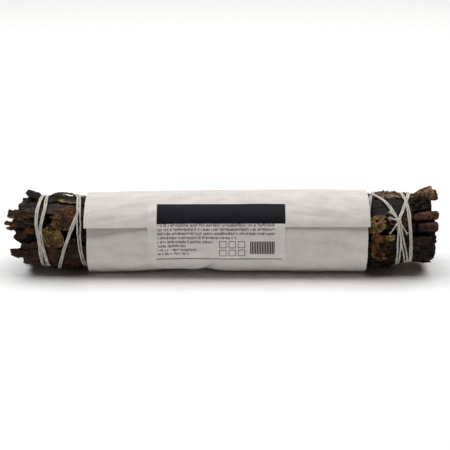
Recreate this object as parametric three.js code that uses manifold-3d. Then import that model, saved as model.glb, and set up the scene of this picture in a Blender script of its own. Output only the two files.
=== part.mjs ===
// A smudge stick: dried leaves packed lengthwise into a stick, bound from end to end with a
// doubled cotton thread, with a sheet of paper rolled round the middle and a label that holds
// the paper shut. Units are millimetres and degrees. X runs along the stick, the front is -Y,
// up is +Z, and the stick lies on z = 0. An angle round the stick is 0 at the front and 90 at
// the top.
import * as THREE from "three";
import { mergeVertices } from "three/addons/utils/BufferGeometryUtils.js";
import Module from "manifold-3d";

const wasm = await Module();
wasm.setup();

// Driving dimensions
const STICK_LENGTH = 225;
const STICK_END = STICK_LENGTH / 2;
const AXIS_HEIGHT = 20.6;
const CLEARANCE = 0.3;

// The outer radius of the leaf bundle at distances along the stick: it is waisted where the
// thread is tight, and pressed in under the paper
const GIRTH = [
  [-STICK_END, 16.6],
  [-105, 17.2],
  [-99, 18],
  [-93, 18.3],
  [-85, 19.1],
  [-78, 19.1],
  [-68, 17.8],
  [74, 17.9],
  [82, 19.3],
  [89, 19.1],
  [96, 18.1],
  [102, 18],
  [108, 18.5],
  [STICK_END, 18.3],
];

// How far the middle of the bundle rises above the paper's axis along the stick
const RISE = [
  [-STICK_END, 0.3],
  [-99, 0.3],
  [-92, 0],
  [-85, -0.5],
  [-60, 0],
  [66, 0],
  [86, 1],
  [101, 2.1],
  [STICK_END, 2.6],
];

// Paper: a sheet rolled once round the stick and over its own start, with the flap's edge at
// the front. Its ends run slightly askew, and it is a little wider round at the right.
const PAPER_RADIUS = 21.45;
const PAPER_FLARE = 0.3 / 72;
const PAPER_THICKNESS = 0.5;
const PAPER_ROLL = 410;
const FLAP_EDGE_ANGLE = 25;
const TUCK_DEPTH = 0.8;
const TUCK_ANGLES = { from: 50, to: 95 };
const PAPER_LEFT = { start: -69.3, flap: -70.8 };
const PAPER_RIGHT = { start: 75.2, flap: 76.5 };
const PAPER_FACETS = 46;

// Label: a sticker on the paper, over the flap's edge
const LABEL_LENGTH = 71;
const LABEL_CENTRE = -2.6;
const LABEL_HEIGHT = 31.8;
const LABEL_ANGLE = 19;
const LABEL_THICKNESS = 0.35;
const LABEL_FACETS = 10;

// Thread: two yarns side by side, as one flat strand. Its straight facets sag a little below
// the round that they follow.
const YARN_DIAMETER = 1;
const STRAND_WIDTH = 1.9;
const STRAND_SIDES = 6;
const STRAND_STEPS_PER_TURN = { shown: 18, hidden: 12 };
const STRAND_SAG = 0.35;
const STRAND_LIFT = CLEARANCE + STRAND_SAG + YARN_DIAMETER / 2;
const STRAND_FLOOR = 1.5;

// Leaves
const BLADE_THICKNESS = 0.65;
const LEAF_FACET = { length: 7, width: 4.7 };
const LEAF_FLOOR = { bound: 2.5, free: 1 };
const FREE_LEAVES = { from: 99, to: 106 };

// The packed middle: its stations along the stick, and how far it lies below the girth
const CORE_STATIONS = [-96, -91, -85, -78, -64, -60, 0, 60, 64, 78, 85, 91, 96];
const CORE_SIDES = 20;
const CORE_DEPTH = { middle: 0.5, ends: 3.4 };
const CORE_DENT = 0.4;
const CORE_MIDDLE = 62;

// The thread's route: how many turns round the stick, counted from the top and down the front,
// with the distance along the stick at each. It starts and ends at the knot.
const KNOT = { x: 91.2, angle: 31 };
const KNOT_TURN = (90 - KNOT.angle) / 360;
const KNOT_RADII = { along: 1.7, across: 1.2, up: 1.9 };
const KNOT_LIFT = 0.7;
const ROUTE = [
  [KNOT_TURN, KNOT.x],
  [0.25, 91.7],
  [0.5, 92.8],
  [0.75, 93.6],
  [1, 94.8],
  [1.08, 96.2],
  [1.18, 97.1],
  [1.32, 98.4],
  [1.5, 100],
  [1.75, 99.8],
  [1.95, 98.6],
  [2.04, 97],
  [2.12, 93.4],
  [2 + KNOT_TURN, KNOT.x + 0.4],
  [2.25, 93.3],
  [2.37, 96.4],
  [2.5, 97.4],
  [2.75, 89],
  [3, 78.6],
  [3.1, 76.3],
  [3.25, 73.6],
  [3.5, 66],
  [4.5, 37],
  [5.5, 8],
  [6.5, -21],
  [7.5, -50],
  [7.75, -64],
  [8, -74.8],
  [8.1, -74.2],
  [8.2, -77.9],
  [8.29, -81.9],
  [8.42, -85.5],
  [8.75, -90],
  [9, -91.7],
  [9.09, -91.6],
  [9.2, -93.4],
  [9.3, -91.8],
  [9.4, -91],
  [9.5, -91.2],
  [9.75, -93.2],
  [10, -94.4],
  [10.15, -95.6],
  [10.25, -93.9],
  [10.38, -93.8],
  [10.5, -92.6],
  [10.75, -85],
  [11, -75.2],
  [11.1, -73.9],
  [11.25, -73.2],
  [11.35, -72.2],
  [11.5, -70],
  [12.5, -40],
  [13.5, -10],
  [14.5, 20],
  [15.5, 52],
  [15.8, 68],
  [16, 79],
  [16.06, 84.5],
  [16.11, 88],
  [16 + KNOT_TURN, KNOT.x - 0.4],
];

// The knot's loose ends, each a single yarn that is pressed a little thinner: how far it runs
// along the stick and round it, and how high it arches
const TAIL_RADIUS = 0.4;
const TAILS = [
  { along: -3.9, round: 14, arch: 1.6 },
  { along: -4.2, round: 4, arch: 2.2 },
  { along: -3.6, round: -15, arch: 1.2 },
  { along: 3.6, round: -17, arch: 0.8 },
];

// Leaves rolled lengthwise, whose cut ends stand out of the right end. Each has an axis of its
// own at a distance and an angle from the stick's, a radius, and the half of the arc that its
// wall covers, centred on the way it faces.
const ROLLED_LEAVES = [
  {
    name: "rolled_leaf_top",
    from: 96, to: 111.5, out: 16.2, angle: 86, radius: 4.3, arc: 118, facing: 105,
  },
  {
    name: "rolled_leaf_front",
    from: 94, to: 112.7, out: 15.9, angle: 36, radius: 2.6, arc: 140, facing: 55,
  },
  {
    name: "rolled_leaf_low",
    from: 94, to: 112.3, out: 15.7, angle: 16.5, radius: 2.8, arc: 135, facing: -10,
  },
];
const ROLLED_FLARE = { drop: 2.4, from: 99, to: 105 };
const ROLLED_TEAR = 0.8;

// Large leaves that lie on the outside. Each runs from one distance along the stick to another,
// at an angle round it, and has a width. A turn twists it round the stick, taper narrows both
// its ends, and an arch lifts its middle off the stick.
const LARGE_LEAVES = [
  { name: "loop_leaf_left", from: -90.2, to: -77, angle: 104, width: 3.4, turn: 3, taper: 0.4, arch: 1.9 },
  { name: "olive_leaf_left", from: -92.8, to: -81.2, angle: 9.5, width: 9.4, turn: -4, taper: 0.75 },
  { name: "brown_leaf_left", from: -86.8, to: -73.5, angle: 41, width: 13.4, turn: 5, taper: 0.5 },
  { name: "grey_leaf_left", from: -106, to: -64, angle: 67, width: 11.4, turn: -6, taper: 0.1 },
  { name: "top_leaf_left", from: -102.5, to: -65, angle: 101, width: 10, turn: -3, taper: 0.25 },
  { name: "midrib_leaf_left", from: -107, to: -92, angle: 40, width: 13, turn: 1, taper: 0.2 },
  { name: "red_leaf_left", from: -104.5, to: -64, angle: -33, width: 18.5, turn: -4, taper: 0.1 },
  { name: "dark_leaf_left", from: -73.5, to: -64, angle: 22, width: 12, turn: 0, taper: 0.1 },
  { name: "under_leaf_left", from: -104, to: -65, angle: -86, width: 14, turn: 3, taper: 0.2 },
  { name: "rear_leaf_left_1", from: -106, to: -64, angle: -132, width: 14, turn: -3, taper: 0.15 },
  { name: "rear_leaf_left_2", from: -103, to: -65, angle: 178, width: 15, turn: 5, taper: 0.2 },
  { name: "rear_leaf_left_3", from: -107, to: -64, angle: 137, width: 12, turn: 2, taper: 0.15 },
  { name: "olive_leaf_right", from: 75.3, to: 85, angle: 27, width: 9, turn: 4, taper: 0.75 },
  { name: "curled_leaf_right", from: 75, to: 88.5, angle: -11, width: 16, turn: -6, taper: 0.45 },
  { name: "dark_leaf_right", from: 68, to: 98, angle: 57, width: 12, turn: 3, taper: 0.15 },
  { name: "crinkled_leaf_right", from: 71, to: 95, angle: 93, width: 12, turn: -2, taper: 0.2 },
  { name: "ragged_leaf_right", from: 99, to: 109.5, angle: 55, width: 7.2, turn: 2, taper: 0.2 },
  { name: "lower_leaf_right", from: 68, to: 110, angle: -31, width: 18.5, turn: 3, taper: 0.1 },
  { name: "under_leaf_right", from: 69, to: 108, angle: -86, width: 14, turn: -3, taper: 0.15 },
  { name: "rear_leaf_right_1", from: 68, to: 110, angle: -130, width: 13, turn: 3, taper: 0.1 },
  { name: "rear_leaf_right_2", from: 69, to: 107, angle: -179, width: 15, turn: -4, taper: 0.2 },
  { name: "rear_leaf_right_3", from: 68, to: 110, angle: 138, width: 12, turn: 3, taper: 0.15 },
];
const LARGE_LEAF_TEAR = 2.2;

// Leaves under the large ones, at both ends
const INNER_LEAVES = { count: 8, root: 82, reach: [103.5, 109], width: 14.4, tear: 2.6 };
const INNER_DEPTHS = [2.1, 1.3];

// Broken leaves packed inside, whose edges stand out of both ends, in rings round the axis
const PACKED_RINGS = [
  { out: 2.8, count: 3, radius: 1.9 },
  { out: 7.4, count: 6, radius: 2.1 },
  { out: 12.3, count: 10, radius: 2.2 },
];
const PACKED_ROOT = 93;
const PACKED_ARC = [85, 135];
const PACKED_REACH = { left: [101, 107], right: [105, 110] };
const PACKED_TEAR = { left: 2.4, right: 1 };

// Broken tips at the left end, which reach furthest out of the stick
const BROKEN_TIPS = [
  { angle: 46, out: 15.2, far: 111.3, width: 6.4 },
  { angle: 25, out: 14.4, far: 112.8, width: 4.6 },
  { angle: -24, out: 16, far: 109.6, width: 7 },
  { angle: 8, out: 15.4, far: 108, width: 6 },
];
const TIP_TEAR = 3.2;

const COLOURS = {
  packed: "#33241d",
  olive: "#5f5433",
  brown: "#6a4628",
  grey: "#473c3e",
  red: "#3f251c",
  dark: "#2f2527",
  ragged: "#33261f",
  loop: "#5a4a30",
  crinkled: "#6b5a45",
  curled: "#6a4526",
  rolled: "#59392a",
  midrib: "#3c2a22",
  leaf: "#3a2a24",
  binding: "#c9c2b6",
  paper: "#d9d2cd",
};
const ROUGHNESS = { leaf: 0.7, thread: 0.9, paper: 0.85 };

const { degToRad, lerp, radToDeg, smoothstep } = THREE.MathUtils;

// A fixed draw between 0 and 1 for each number, so that every build is the same
function draw(n) {
  const s = Math.sin(n * 12.9898 + 4.1414) * 43758.5453;
  return s - Math.floor(s);
}

// A smooth wave of three lengths, between -1 and 1, that differs for each seed
function wave(t, seed) {
  const long = Math.sin(t * 2.1 + seed * 1.7);
  const middle = Math.sin(t * 5.3 + seed * 4.1);
  const short = Math.sin(t * 9.7 + seed * 2.9);
  return 0.5 * long + 0.3 * middle + 0.2 * short;
}

// How far a torn leaf end runs out or falls short, at v across the leaf
function torn(v, seed, depth) {
  return depth * wave(3 * v, seed);
}

// A table's value at x, eased between its rows
function along(table, x) {
  const last = table.length - 1;
  const i = x >= table[last][0] ? last : Math.max(1, table.findIndex((row) => row[0] > x));
  const [x0, value0] = table[i - 1];
  const [x1, value1] = table[i];
  return lerp(value0, value1, smoothstep(x, x0, x1));
}

const girth = (x) => along(GIRTH, x);

// The thread's distance along the stick after some turns, on a curve through its route
function route(turns) {
  const last = ROUTE.length - 1;
  const i = turns >= ROUTE[last][0] ? last : Math.max(1, ROUTE.findIndex((row) => row[0] > turns));
  const [t0, x0] = ROUTE[i - 1];
  const [t1, x1] = ROUTE[i];
  const before = ROUTE[Math.max(i - 2, 0)];
  const after = ROUTE[Math.min(i + 1, last)];
  const slope0 = (x1 - before[1]) / (t1 - before[0]);
  const slope1 = (after[1] - x0) / (after[0] - t0);
  const t = (turns - t0) / (t1 - t0);
  const rise0 = t * (1 - t) ** 2 * (t1 - t0) * slope0;
  const rise1 = t * t * (1 - t) * (t1 - t0) * slope1;
  return lerp(x0, x1, t * t * (3 - 2 * t)) + rise0 - rise1;
}

// The point at x along the stick, at an angle round it and at distance r from its axis
function around(x, angle, r, height) {
  const a = degToRad(angle);
  return new THREE.Vector3(x, -r * Math.cos(a), height + r * Math.sin(a));
}

const onPaper = (x, angle, r) => around(x, angle, r, AXIS_HEIGHT);
const onStick = (x, angle, r) => around(x, angle, r, AXIS_HEIGHT + along(RISE, x));

// The same for leaves, which are pressed flat underneath where they are bound
function amongLeaves(x, angle, r) {
  const p = onStick(x, angle, r);
  const free = smoothstep(Math.abs(x), FREE_LEAVES.from, FREE_LEAVES.to);
  const floor = lerp(LEAF_FLOOR.bound, LEAF_FLOOR.free, free);
  p.z = Math.max(p.z, floor + girth(x) - r);
  return p;
}

// A closed solid from a three.js geometry, turned right side out
function solidOf(geometry) {
  const bare = geometry.clone();
  bare.deleteAttribute("normal");
  bare.deleteAttribute("uv");
  const merged = mergeVertices(bare, 1e-4);
  const vertProperties = merged.getAttribute("position").array;
  const triVerts = new Uint32Array(merged.index.array);
  const made = new wasm.Manifold(new wasm.Mesh({ numProp: 3, vertProperties, triVerts }));
  if (made.volume() > 0) return made;
  for (let i = 0; i < triVerts.length; i += 3) {
    [triVerts[i], triVerts[i + 1]] = [triVerts[i + 1], triVerts[i]];
  }
  return new wasm.Manifold(new wasm.Mesh({ numProp: 3, vertProperties, triVerts }));
}

// A thin closed sheet. place gives the point for u and v, from -1 to 1 over the sheet, and for
// a side, 0.5 on one face and -0.5 on the other. Both faces are split into the same triangles.
function sheet(columns, rows, place) {
  const plane = new THREE.PlaneGeometry(2, 2, columns, rows);
  const flat = plane.getAttribute("position");
  const points = [];
  for (const side of [0.5, -0.5]) {
    for (let i = 0; i < flat.count; i++) {
      points.push(...place(flat.getX(i), flat.getY(i), side));
    }
  }
  const faces = [];
  for (let i = 0; i < plane.index.count; i += 3) {
    const [a, b, c] = [0, 1, 2].map((k) => plane.index.getX(i + k));
    faces.push(a, b, c, flat.count + a, flat.count + c, flat.count + b);
  }
  const at = (column, row) => row * (columns + 1) + column;
  const rim = [];
  for (let i = 0; i < columns; i++) rim.push(at(i, 0));
  for (let i = 0; i < rows; i++) rim.push(at(columns, i));
  for (let i = columns; i > 0; i--) rim.push(at(i, rows));
  for (let i = rows; i > 0; i--) rim.push(at(0, i));
  rim.forEach((a, i) => {
    const b = rim[(i + 1) % rim.length];
    faces.push(a, b, flat.count + b, a, flat.count + b, flat.count + a);
  });
  const closed = new THREE.BufferGeometry();
  closed.setAttribute("position", new THREE.Float32BufferAttribute(points, 3));
  closed.setIndex(faces);
  return solidOf(closed);
}

// A closed bar through stations along a path. place gives the point for a station and for an
// offset of length 1 across it.
function bar(sides, stations, place) {
  const steps = stations.length - 1;
  const tube = new THREE.CylinderGeometry(1, 1, 1, sides, steps);
  const round = tube.getAttribute("position");
  for (let i = 0; i < round.count; i++) {
    const station = stations[Math.round((round.getY(i) + 0.5) * steps)];
    round.setXYZ(i, ...place(station, round.getX(i), round.getZ(i)));
  }
  return solidOf(tube);
}

// The largest body of a solid: a scrap that a cut leaves loose is dropped
function largest(solid) {
  return solid.decompose().reduce((a, b) => (a.volume() > b.volume() ? a : b));
}

// A leaf that lies on the outside of the stick. grown adds to its thickness and edges, for the
// room that it takes from its neighbours.
function largeLeaf(leaf, seed, grown) {
  const { from, to, angle, width, turn, taper, arch = 0 } = leaf;
  const outward = Math.sign(from + to);
  const columns = Math.max(4, Math.ceil((to - from) / LEAF_FACET.length));
  const rows = Math.ceil(width / LEAF_FACET.width);
  return sheet(columns, rows, (u, v, side) => {
    const free = smoothstep(outward * u, 0.3, 1);
    const tear = outward * free * torn(v, seed, LARGE_LEAF_TEAR) * (1 - taper);
    const x = (from + to) / 2 + u * ((to - from) / 2 + grown) + tear;
    const narrowed = Math.sqrt(1 - taper * u * u) * (1 + 0.1 * wave(3 * u + v, seed + 3));
    const half = (width / 2) * narrowed + grown;
    const middle = girth(x) - BLADE_THICKNESS / 2 + arch * (1 - u * u);
    const r = middle + side * (BLADE_THICKNESS + 2 * grown);
    return amongLeaves(x, angle + turn * u + radToDeg((v * half) / r), r);
  });
}

// A leaf rolled lengthwise about an axis of its own, which passes under the thread
function rolledLeaf(leaf, seed, grown) {
  const { from, to, out, angle, radius, arc, facing } = leaf;
  return sheet(5, 8, (u, v, side) => {
    const spread = 1 + 0.16 * u + 0.05 * wave(2 * v, seed);
    const wall = radius * spread + side * (BLADE_THICKNESS + 2 * grown);
    const x = (from + to) / 2 + u * ((to - from) / 2 + grown);
    const cut = smoothstep(u, 0.2, 1) * (torn(v, seed, ROLLED_TEAR) - ROLLED_TEAR);
    const flare = smoothstep(x, ROLLED_FLARE.from, ROLLED_FLARE.to);
    const p = onStick(x + cut, angle, out - ROLLED_FLARE.drop * (1 - flare));
    const a = degToRad(facing + v * arc) + (v * grown) / radius;
    p.y -= wall * Math.cos(a);
    p.z += wall * Math.sin(a);
    return p;
  });
}

// The packed middle of the stick, uneven round its girth
function packedCore() {
  return bar(CORE_SIDES, CORE_STATIONS, (x, across, up) => {
    const angle = radToDeg(Math.atan2(up, -across));
    const dent = CORE_DENT * (wave(angle / 22, 1 + x / 30) - 1);
    const depth = Math.abs(x) < CORE_MIDDLE ? CORE_DEPTH.middle : CORE_DEPTH.ends;
    return onStick(x, angle, (girth(x) - depth + dent) * Math.hypot(across, up));
  });
}

// A leaf just under the large ones, whose root is sunk in the packed middle
function innerLeaf(end, index) {
  const { count, root, reach, width, tear } = INNER_LEAVES;
  const seed = index + (end > 0 ? 40 : 20);
  const angle = (360 * index) / count + 8 * draw(seed);
  const far = lerp(...reach, draw(seed + 7));
  return sheet(4, 3, (u, v, side) => {
    const place = lerp(root, far, (u + 1) / 2);
    const x = end * (place + smoothstep(u, 0.4, 1) * torn(v, seed, tear));
    const sunk = INNER_DEPTHS[index % 2] + 4 * (1 - smoothstep(place, root, root + 10));
    const r = girth(x) - sunk + (side - 0.5) * BLADE_THICKNESS;
    const half = width / 2 + wave(3 * u, seed + 2);
    return amongLeaves(x, angle + radToDeg((v * half) / r), r);
  });
}

// One broken leaf in a packed end, curled about an axis of its own
function packedLeaf(end, ring, index, seed) {
  const side = end > 0 ? "right" : "left";
  const angle = (360 * (index + 0.4 * draw(seed))) / ring.count + 25 * ring.out;
  const facing = 360 * draw(seed + 1);
  const arc = lerp(...PACKED_ARC, draw(seed + 2));
  const far = lerp(...PACKED_REACH[side], draw(seed + 3));
  return sheet(1, 5, (u, v, face) => {
    const curl = 1 + 0.12 * u + 0.2 * wave(2 * v, seed);
    const wall = ring.radius * curl + face * BLADE_THICKNESS;
    const x = lerp(PACKED_ROOT, far + torn(v, seed, PACKED_TEAR[side]), (u + 1) / 2);
    const a = degToRad(facing + v * arc);
    const p = onStick(end * x, angle, ring.out);
    p.y -= wall * Math.cos(a);
    p.z += wall * Math.sin(a);
    return p;
  });
}

// A tip that widens away from the stick's axis where it is free
function brokenTip({ angle, out, far, width }, seed) {
  return sheet(5, 3, (u, v, side) => {
    const free = smoothstep(u, 0, 1);
    const half = (width / 2) * (1 - 0.35 * free);
    const tear = free * Math.abs(v * torn(v, seed, TIP_TEAR));
    const x = lerp(-PACKED_ROOT, -far + tear, (u + 1) / 2);
    const r = out + side * BLADE_THICKNESS + 0.9 * v * v * free;
    return onStick(x, angle + radToDeg((v * half) / out), r);
  });
}

// All that is one dark mass: the packed middle, the leaves round it and the broken ends
function packedLeaves() {
  const pieces = [packedCore(), ...BROKEN_TIPS.map(brokenTip)];
  for (const end of [-1, 1]) {
    for (let i = 0; i < INNER_LEAVES.count; i++) pieces.push(innerLeaf(end, i));
    PACKED_RINGS.forEach((ring, k) => {
      const seed = 60 + 40 * k + (end > 0 ? 17 : 0);
      for (let i = 0; i < ring.count; i++) pieces.push(packedLeaf(end, ring, i, seed + 3 * i));
    });
  }
  return pieces.reduce((whole, piece) => whole.add(piece));
}

// The middle of the strand, which lies on the leaves and keeps off the floor
function strandPoint(turns) {
  const x = route(turns);
  const p = onStick(x, 90 - 360 * turns, girth(x) + STRAND_LIFT);
  p.z = Math.max(p.z, STRAND_FLOOR);
  return p;
}

// The stations of the strand, in turns: fewer of them under the paper
function strandStations() {
  const last = ROUTE[ROUTE.length - 1][0];
  const stations = [ROUTE[0][0]];
  while (last - stations.at(-1) > 1.2 / STRAND_STEPS_PER_TURN.shown) {
    const hidden = Math.abs(route(stations.at(-1))) < CORE_MIDDLE;
    stations.push(stations.at(-1) + 1 / STRAND_STEPS_PER_TURN[hidden ? "hidden" : "shown"]);
  }
  return [...stations, last];
}

function windingStrand() {
  return bar(STRAND_SIDES, strandStations(), (turns, across, up) => {
    const p = strandPoint(turns);
    const ahead = strandPoint(turns + 0.001).sub(strandPoint(turns - 0.001)).normalize();
    const out = new THREE.Vector3(0, p.y, p.z - AXIS_HEIGHT - along(RISE, p.x)).normalize();
    const aside = new THREE.Vector3().crossVectors(ahead, out).normalize();
    p.addScaledVector(aside, (across * STRAND_WIDTH) / 2);
    return p.addScaledVector(out, (up * YARN_DIAMETER) / 2);
  });
}

// A point by the knot, at offsets along the stick, round it and out from the strand
function byKnot(along, round, out) {
  return onStick(KNOT.x + along, KNOT.angle + round, girth(KNOT.x) + STRAND_LIFT + out);
}

function knot() {
  const lump = new THREE.SphereGeometry(1, 8, 6);
  lump.scale(KNOT_RADII.along, KNOT_RADII.across, KNOT_RADII.up);
  lump.translate(...byKnot(0, 0, KNOT_LIFT));
  return solidOf(lump);
}

// A loose end that leaves the knot and arches over the leaves
function tail({ along, round, arch }) {
  const start = byKnot(0, 0, KNOT_LIFT);
  const top = byKnot(along / 2, round / 2, KNOT_LIFT + arch);
  const end = byKnot(along, round, (KNOT_LIFT + arch) / 2);
  const section = new THREE.Shape();
  section.absarc(0, 0, TAIL_RADIUS, 0, 2 * Math.PI);
  const extrudePath = new THREE.QuadraticBezierCurve3(start, top, end);
  return solidOf(new THREE.ExtrudeGeometry(section, { steps: 5, curveSegments: 3, extrudePath }));
}

function bindingThread() {
  return TAILS.map(tail).reduce((whole, end) => whole.add(end), windingStrand().add(knot()));
}

// The outer radius of the rolled paper at x
function paperRadius(x) {
  return PAPER_RADIUS + PAPER_FLARE * x;
}

// The paper starts under its own flap, and goes down the front, under, and up the back
function paperWrap() {
  const startAngle = FLAP_EDGE_ANGLE - 360 + PAPER_ROLL;
  return sheet(2, PAPER_FACETS, (u, v, side) => {
    const rolled = (PAPER_ROLL * (v + 1)) / 2;
    const left = lerp(PAPER_LEFT.start, PAPER_LEFT.flap, rolled / PAPER_ROLL);
    const right = lerp(PAPER_RIGHT.start, PAPER_RIGHT.flap, rolled / PAPER_ROLL);
    const x = lerp(left, right, (u + 1) / 2);
    const tuck = TUCK_DEPTH * (1 - smoothstep(rolled, TUCK_ANGLES.from, TUCK_ANGLES.to));
    const r = paperRadius(x) - tuck + (side - 0.5) * PAPER_THICKNESS;
    const p = onPaper(x, startAngle - rolled, r);
    p.z = Math.max(p.z, side > 0 ? 0 : PAPER_THICKNESS);
    return p;
  });
}

function paperLabel() {
  const half = radToDeg(LABEL_HEIGHT / 2 / PAPER_RADIUS);
  return sheet(1, LABEL_FACETS, (u, v, side) => {
    const x = LABEL_CENTRE + (u * LABEL_LENGTH) / 2;
    const r = paperRadius(x) + CLEARANCE + (side + 0.5) * LABEL_THICKNESS;
    return onPaper(x, LABEL_ANGLE + v * half, r);
  });
}

// A named mesh with the colour and roughness of its surface
function piece(name, solid, roughness) {
  const { vertProperties, triVerts } = solid.getMesh();
  const geometry = new THREE.BufferGeometry();
  geometry.setAttribute("position", new THREE.BufferAttribute(vertProperties, 3));
  geometry.setIndex(new THREE.BufferAttribute(triVerts, 1));
  const faceted = geometry.toNonIndexed();
  faceted.computeVertexNormals();
  const color = COLOURS[name.split("_")[0]] ?? COLOURS.leaf;
  const material = new THREE.MeshStandardMaterial({ color, roughness, metalness: 0 });
  const made = new THREE.Mesh(faceted, material);
  made.name = name;
  return made;
}

// Each loose leaf keeps clear of those before it, and the packed mass of them all
function smudgeStick() {
  const group = new THREE.Group();
  const taken = [];
  const clearOf = (solid) => largest(taken.reduce((rest, other) => rest.subtract(other), solid));
  const addLeaves = (leaves, shape) => {
    leaves.forEach((leaf, seed) => {
      group.add(piece(leaf.name, clearOf(shape(leaf, seed, 0)), ROUGHNESS.leaf));
      taken.push(shape(leaf, seed, CLEARANCE));
    });
  };
  addLeaves(ROLLED_LEAVES, rolledLeaf);
  addLeaves(LARGE_LEAVES, largeLeaf);
  group.add(piece("packed_leaves", clearOf(packedLeaves()), ROUGHNESS.leaf));
  group.add(piece("binding_thread", bindingThread(), ROUGHNESS.thread));
  group.add(piece("paper_wrap", paperWrap(), ROUGHNESS.paper));
  group.add(piece("paper_label", paperLabel(), ROUGHNESS.paper));

  // The origin is under the middle of the whole stick
  const box = new THREE.Box3().setFromObject(group);
  const middle = box.getCenter(new THREE.Vector3());
  group.position.set(-middle.x, -middle.y, -box.min.z);
  return group;
}

export default smudgeStick();
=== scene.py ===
"""A smudge stick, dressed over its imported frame: dried leaves packed lengthwise and bound with a
doubled cotton thread, a sheet of paper rolled round the middle, and a label that holds it shut."""

from math import ceil, cos, degrees, exp, floor, hypot, pi, radians, sin, sqrt
from typing import NamedTuple

import bmesh
import bpy
from bpy.props import FloatProperty, FloatVectorProperty, PointerProperty
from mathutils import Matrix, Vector, noise


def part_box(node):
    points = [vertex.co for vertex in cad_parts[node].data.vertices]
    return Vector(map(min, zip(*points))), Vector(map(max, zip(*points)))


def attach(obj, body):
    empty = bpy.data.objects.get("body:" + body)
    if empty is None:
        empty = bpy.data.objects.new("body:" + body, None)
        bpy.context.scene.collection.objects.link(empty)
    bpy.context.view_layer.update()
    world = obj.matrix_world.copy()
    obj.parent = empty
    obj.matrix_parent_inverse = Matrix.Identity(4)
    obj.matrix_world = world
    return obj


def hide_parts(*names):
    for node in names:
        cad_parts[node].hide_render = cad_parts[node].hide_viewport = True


bl_info = {
    "name": "Smudge Stick",
    "version": (1, 0, 0),
    "blender": (4, 5, 0),
    "location": "3D Viewport > Sidebar > Smudge Stick",
    "description": "Dresses a bound bundle of dried leaves with its thread, paper and label",
    "category": "Add Mesh",
}

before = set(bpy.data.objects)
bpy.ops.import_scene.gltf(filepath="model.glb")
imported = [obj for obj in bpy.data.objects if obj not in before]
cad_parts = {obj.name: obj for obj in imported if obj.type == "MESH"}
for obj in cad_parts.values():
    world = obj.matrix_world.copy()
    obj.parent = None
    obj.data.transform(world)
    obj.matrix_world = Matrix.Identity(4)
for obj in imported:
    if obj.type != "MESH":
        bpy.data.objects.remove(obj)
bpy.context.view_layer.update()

# The tables are in millimetres and degrees. X runs along the stick, an angle round it is 0 at
# the front and 90 at the top, and turns of the thread are counted from the top down the front.
MM = 0.001
# The height of the paper's axis, and how far the stick reaches from its middle
AXIS_HEIGHT = 20.6
STICK_END = 112.5

# The outer radius of the leaf bundle along the stick
GIRTH = [
    (-STICK_END, 16.6), (-105, 17.2), (-99, 18), (-93, 18.3), (-85, 19.1), (-78, 19.1), (-68, 17.8),
    (74, 17.9), (82, 19.3), (89, 19.1), (96, 18.1), (102, 18), (108, 18.5), (STICK_END, 18.3),
]
# How far the middle of the bundle rises above the paper's axis
RISE = [
    (-STICK_END, 0.3), (-99, 0.3), (-92, 0), (-85, -0.5), (-60, 0), (66, 0), (86, 1), (101, 2.1),
    (STICK_END, 2.6),
]
# How high the leaves' flattened underside lies where the thread binds it and where it is free,
# and between which distances from the middle it changes
LEAF_FLOOR = {"bound": 2.5, "free": 1.8}
FREE_LEAVES = (99, 106)

# The paper: its outer radius, which grows a little to the right, how far its left end sinks, and
# the degrees that it is rolled. Its outer edge is a flap that stands loose towards both ends,
# with a valley in the sheet below it. Its inner edge is tucked in over some degrees.
PAPER_RADIUS = 21.45
PAPER_FLARE = 0.3 / 72
PAPER_SINK = 0.9
PAPER_ROLL = 410
FLAP_EDGE_ANGLE = 25
FLAP_LOOSE = 1.5
VALLEY_DEPTH = 1.5
TUCK_DEPTH = 0.8
TUCK_ANGLES = (50, 95)
PAPER_LEFT = {"start": -69.3, "flap": -70.8}
PAPER_RIGHT = {"start": 75.2, "flap": 76.5}
PAPER_GRID = (160, 200)
# The notch that is pressed in below the label: where it is, how far it spreads to its left, to
# its right and round the stick, and how deep it is
NOTCH = {"x": -13, "angle": -68, "left": 22, "right": 9, "round": 15, "depth": 1.9}
# Points of the yarn and the paper stay this high above the floor, in metres
YARN_FLOOR = 0.00055
PAPER_FLOOR = 0.00002

# The label: its size, where its middle lies along and round, and its height above the paper
LABEL_LENGTH = 71
LABEL_CENTRE = -2.6
LABEL_HEIGHT = 31.8
LABEL_ANGLE = 19
LABEL_LIFT = 0.25

# The knot's place along and round the stick, and the thread's route from it and back to it:
# after how many turns it is how far along
KNOT = (91.2, 31)
KNOT_TURN = (90 - KNOT[1]) / 360
KNOT_LIFT = 0.75
ROUTE = [
    (KNOT_TURN, 91.2), (0.25, 91.7), (0.5, 92.8), (0.75, 93.6), (1, 94.8), (1.08, 96.2),
    (1.18, 97.1), (1.32, 98.4), (1.5, 100), (1.75, 99.8), (1.95, 98.6), (2.04, 97), (2.12, 93.4),
    (2 + KNOT_TURN, 91.6), (2.25, 93.3), (2.37, 96.4), (2.5, 97.4), (2.75, 89), (3, 78.6),
    (3.1, 76.3), (3.25, 73.6), (3.5, 66), (4.5, 37), (5.5, 8), (6.5, -21), (7.5, -50), (7.75, -64),
    (8, -74.8), (8.1, -74.2), (8.2, -77.9), (8.29, -81.9), (8.42, -85.5), (8.75, -90), (9, -91.7),
    (9.09, -91.6), (9.2, -93.4), (9.3, -91.8), (9.4, -91), (9.5, -91.2), (9.75, -93.2),
    (10, -94.4), (10.15, -95.6), (10.25, -93.9), (10.38, -93.8), (10.5, -92.6), (10.75, -85),
    (11, -75.2), (11.1, -73.9), (11.25, -73.2), (11.35, -72.2), (11.5, -70), (12.5, -40),
    (13.5, -10), (14.5, 20), (15.5, 52), (15.8, 68), (16, 79), (16.06, 84.5), (16.11, 88),
    (16 + KNOT_TURN, 90.8),
]
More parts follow.
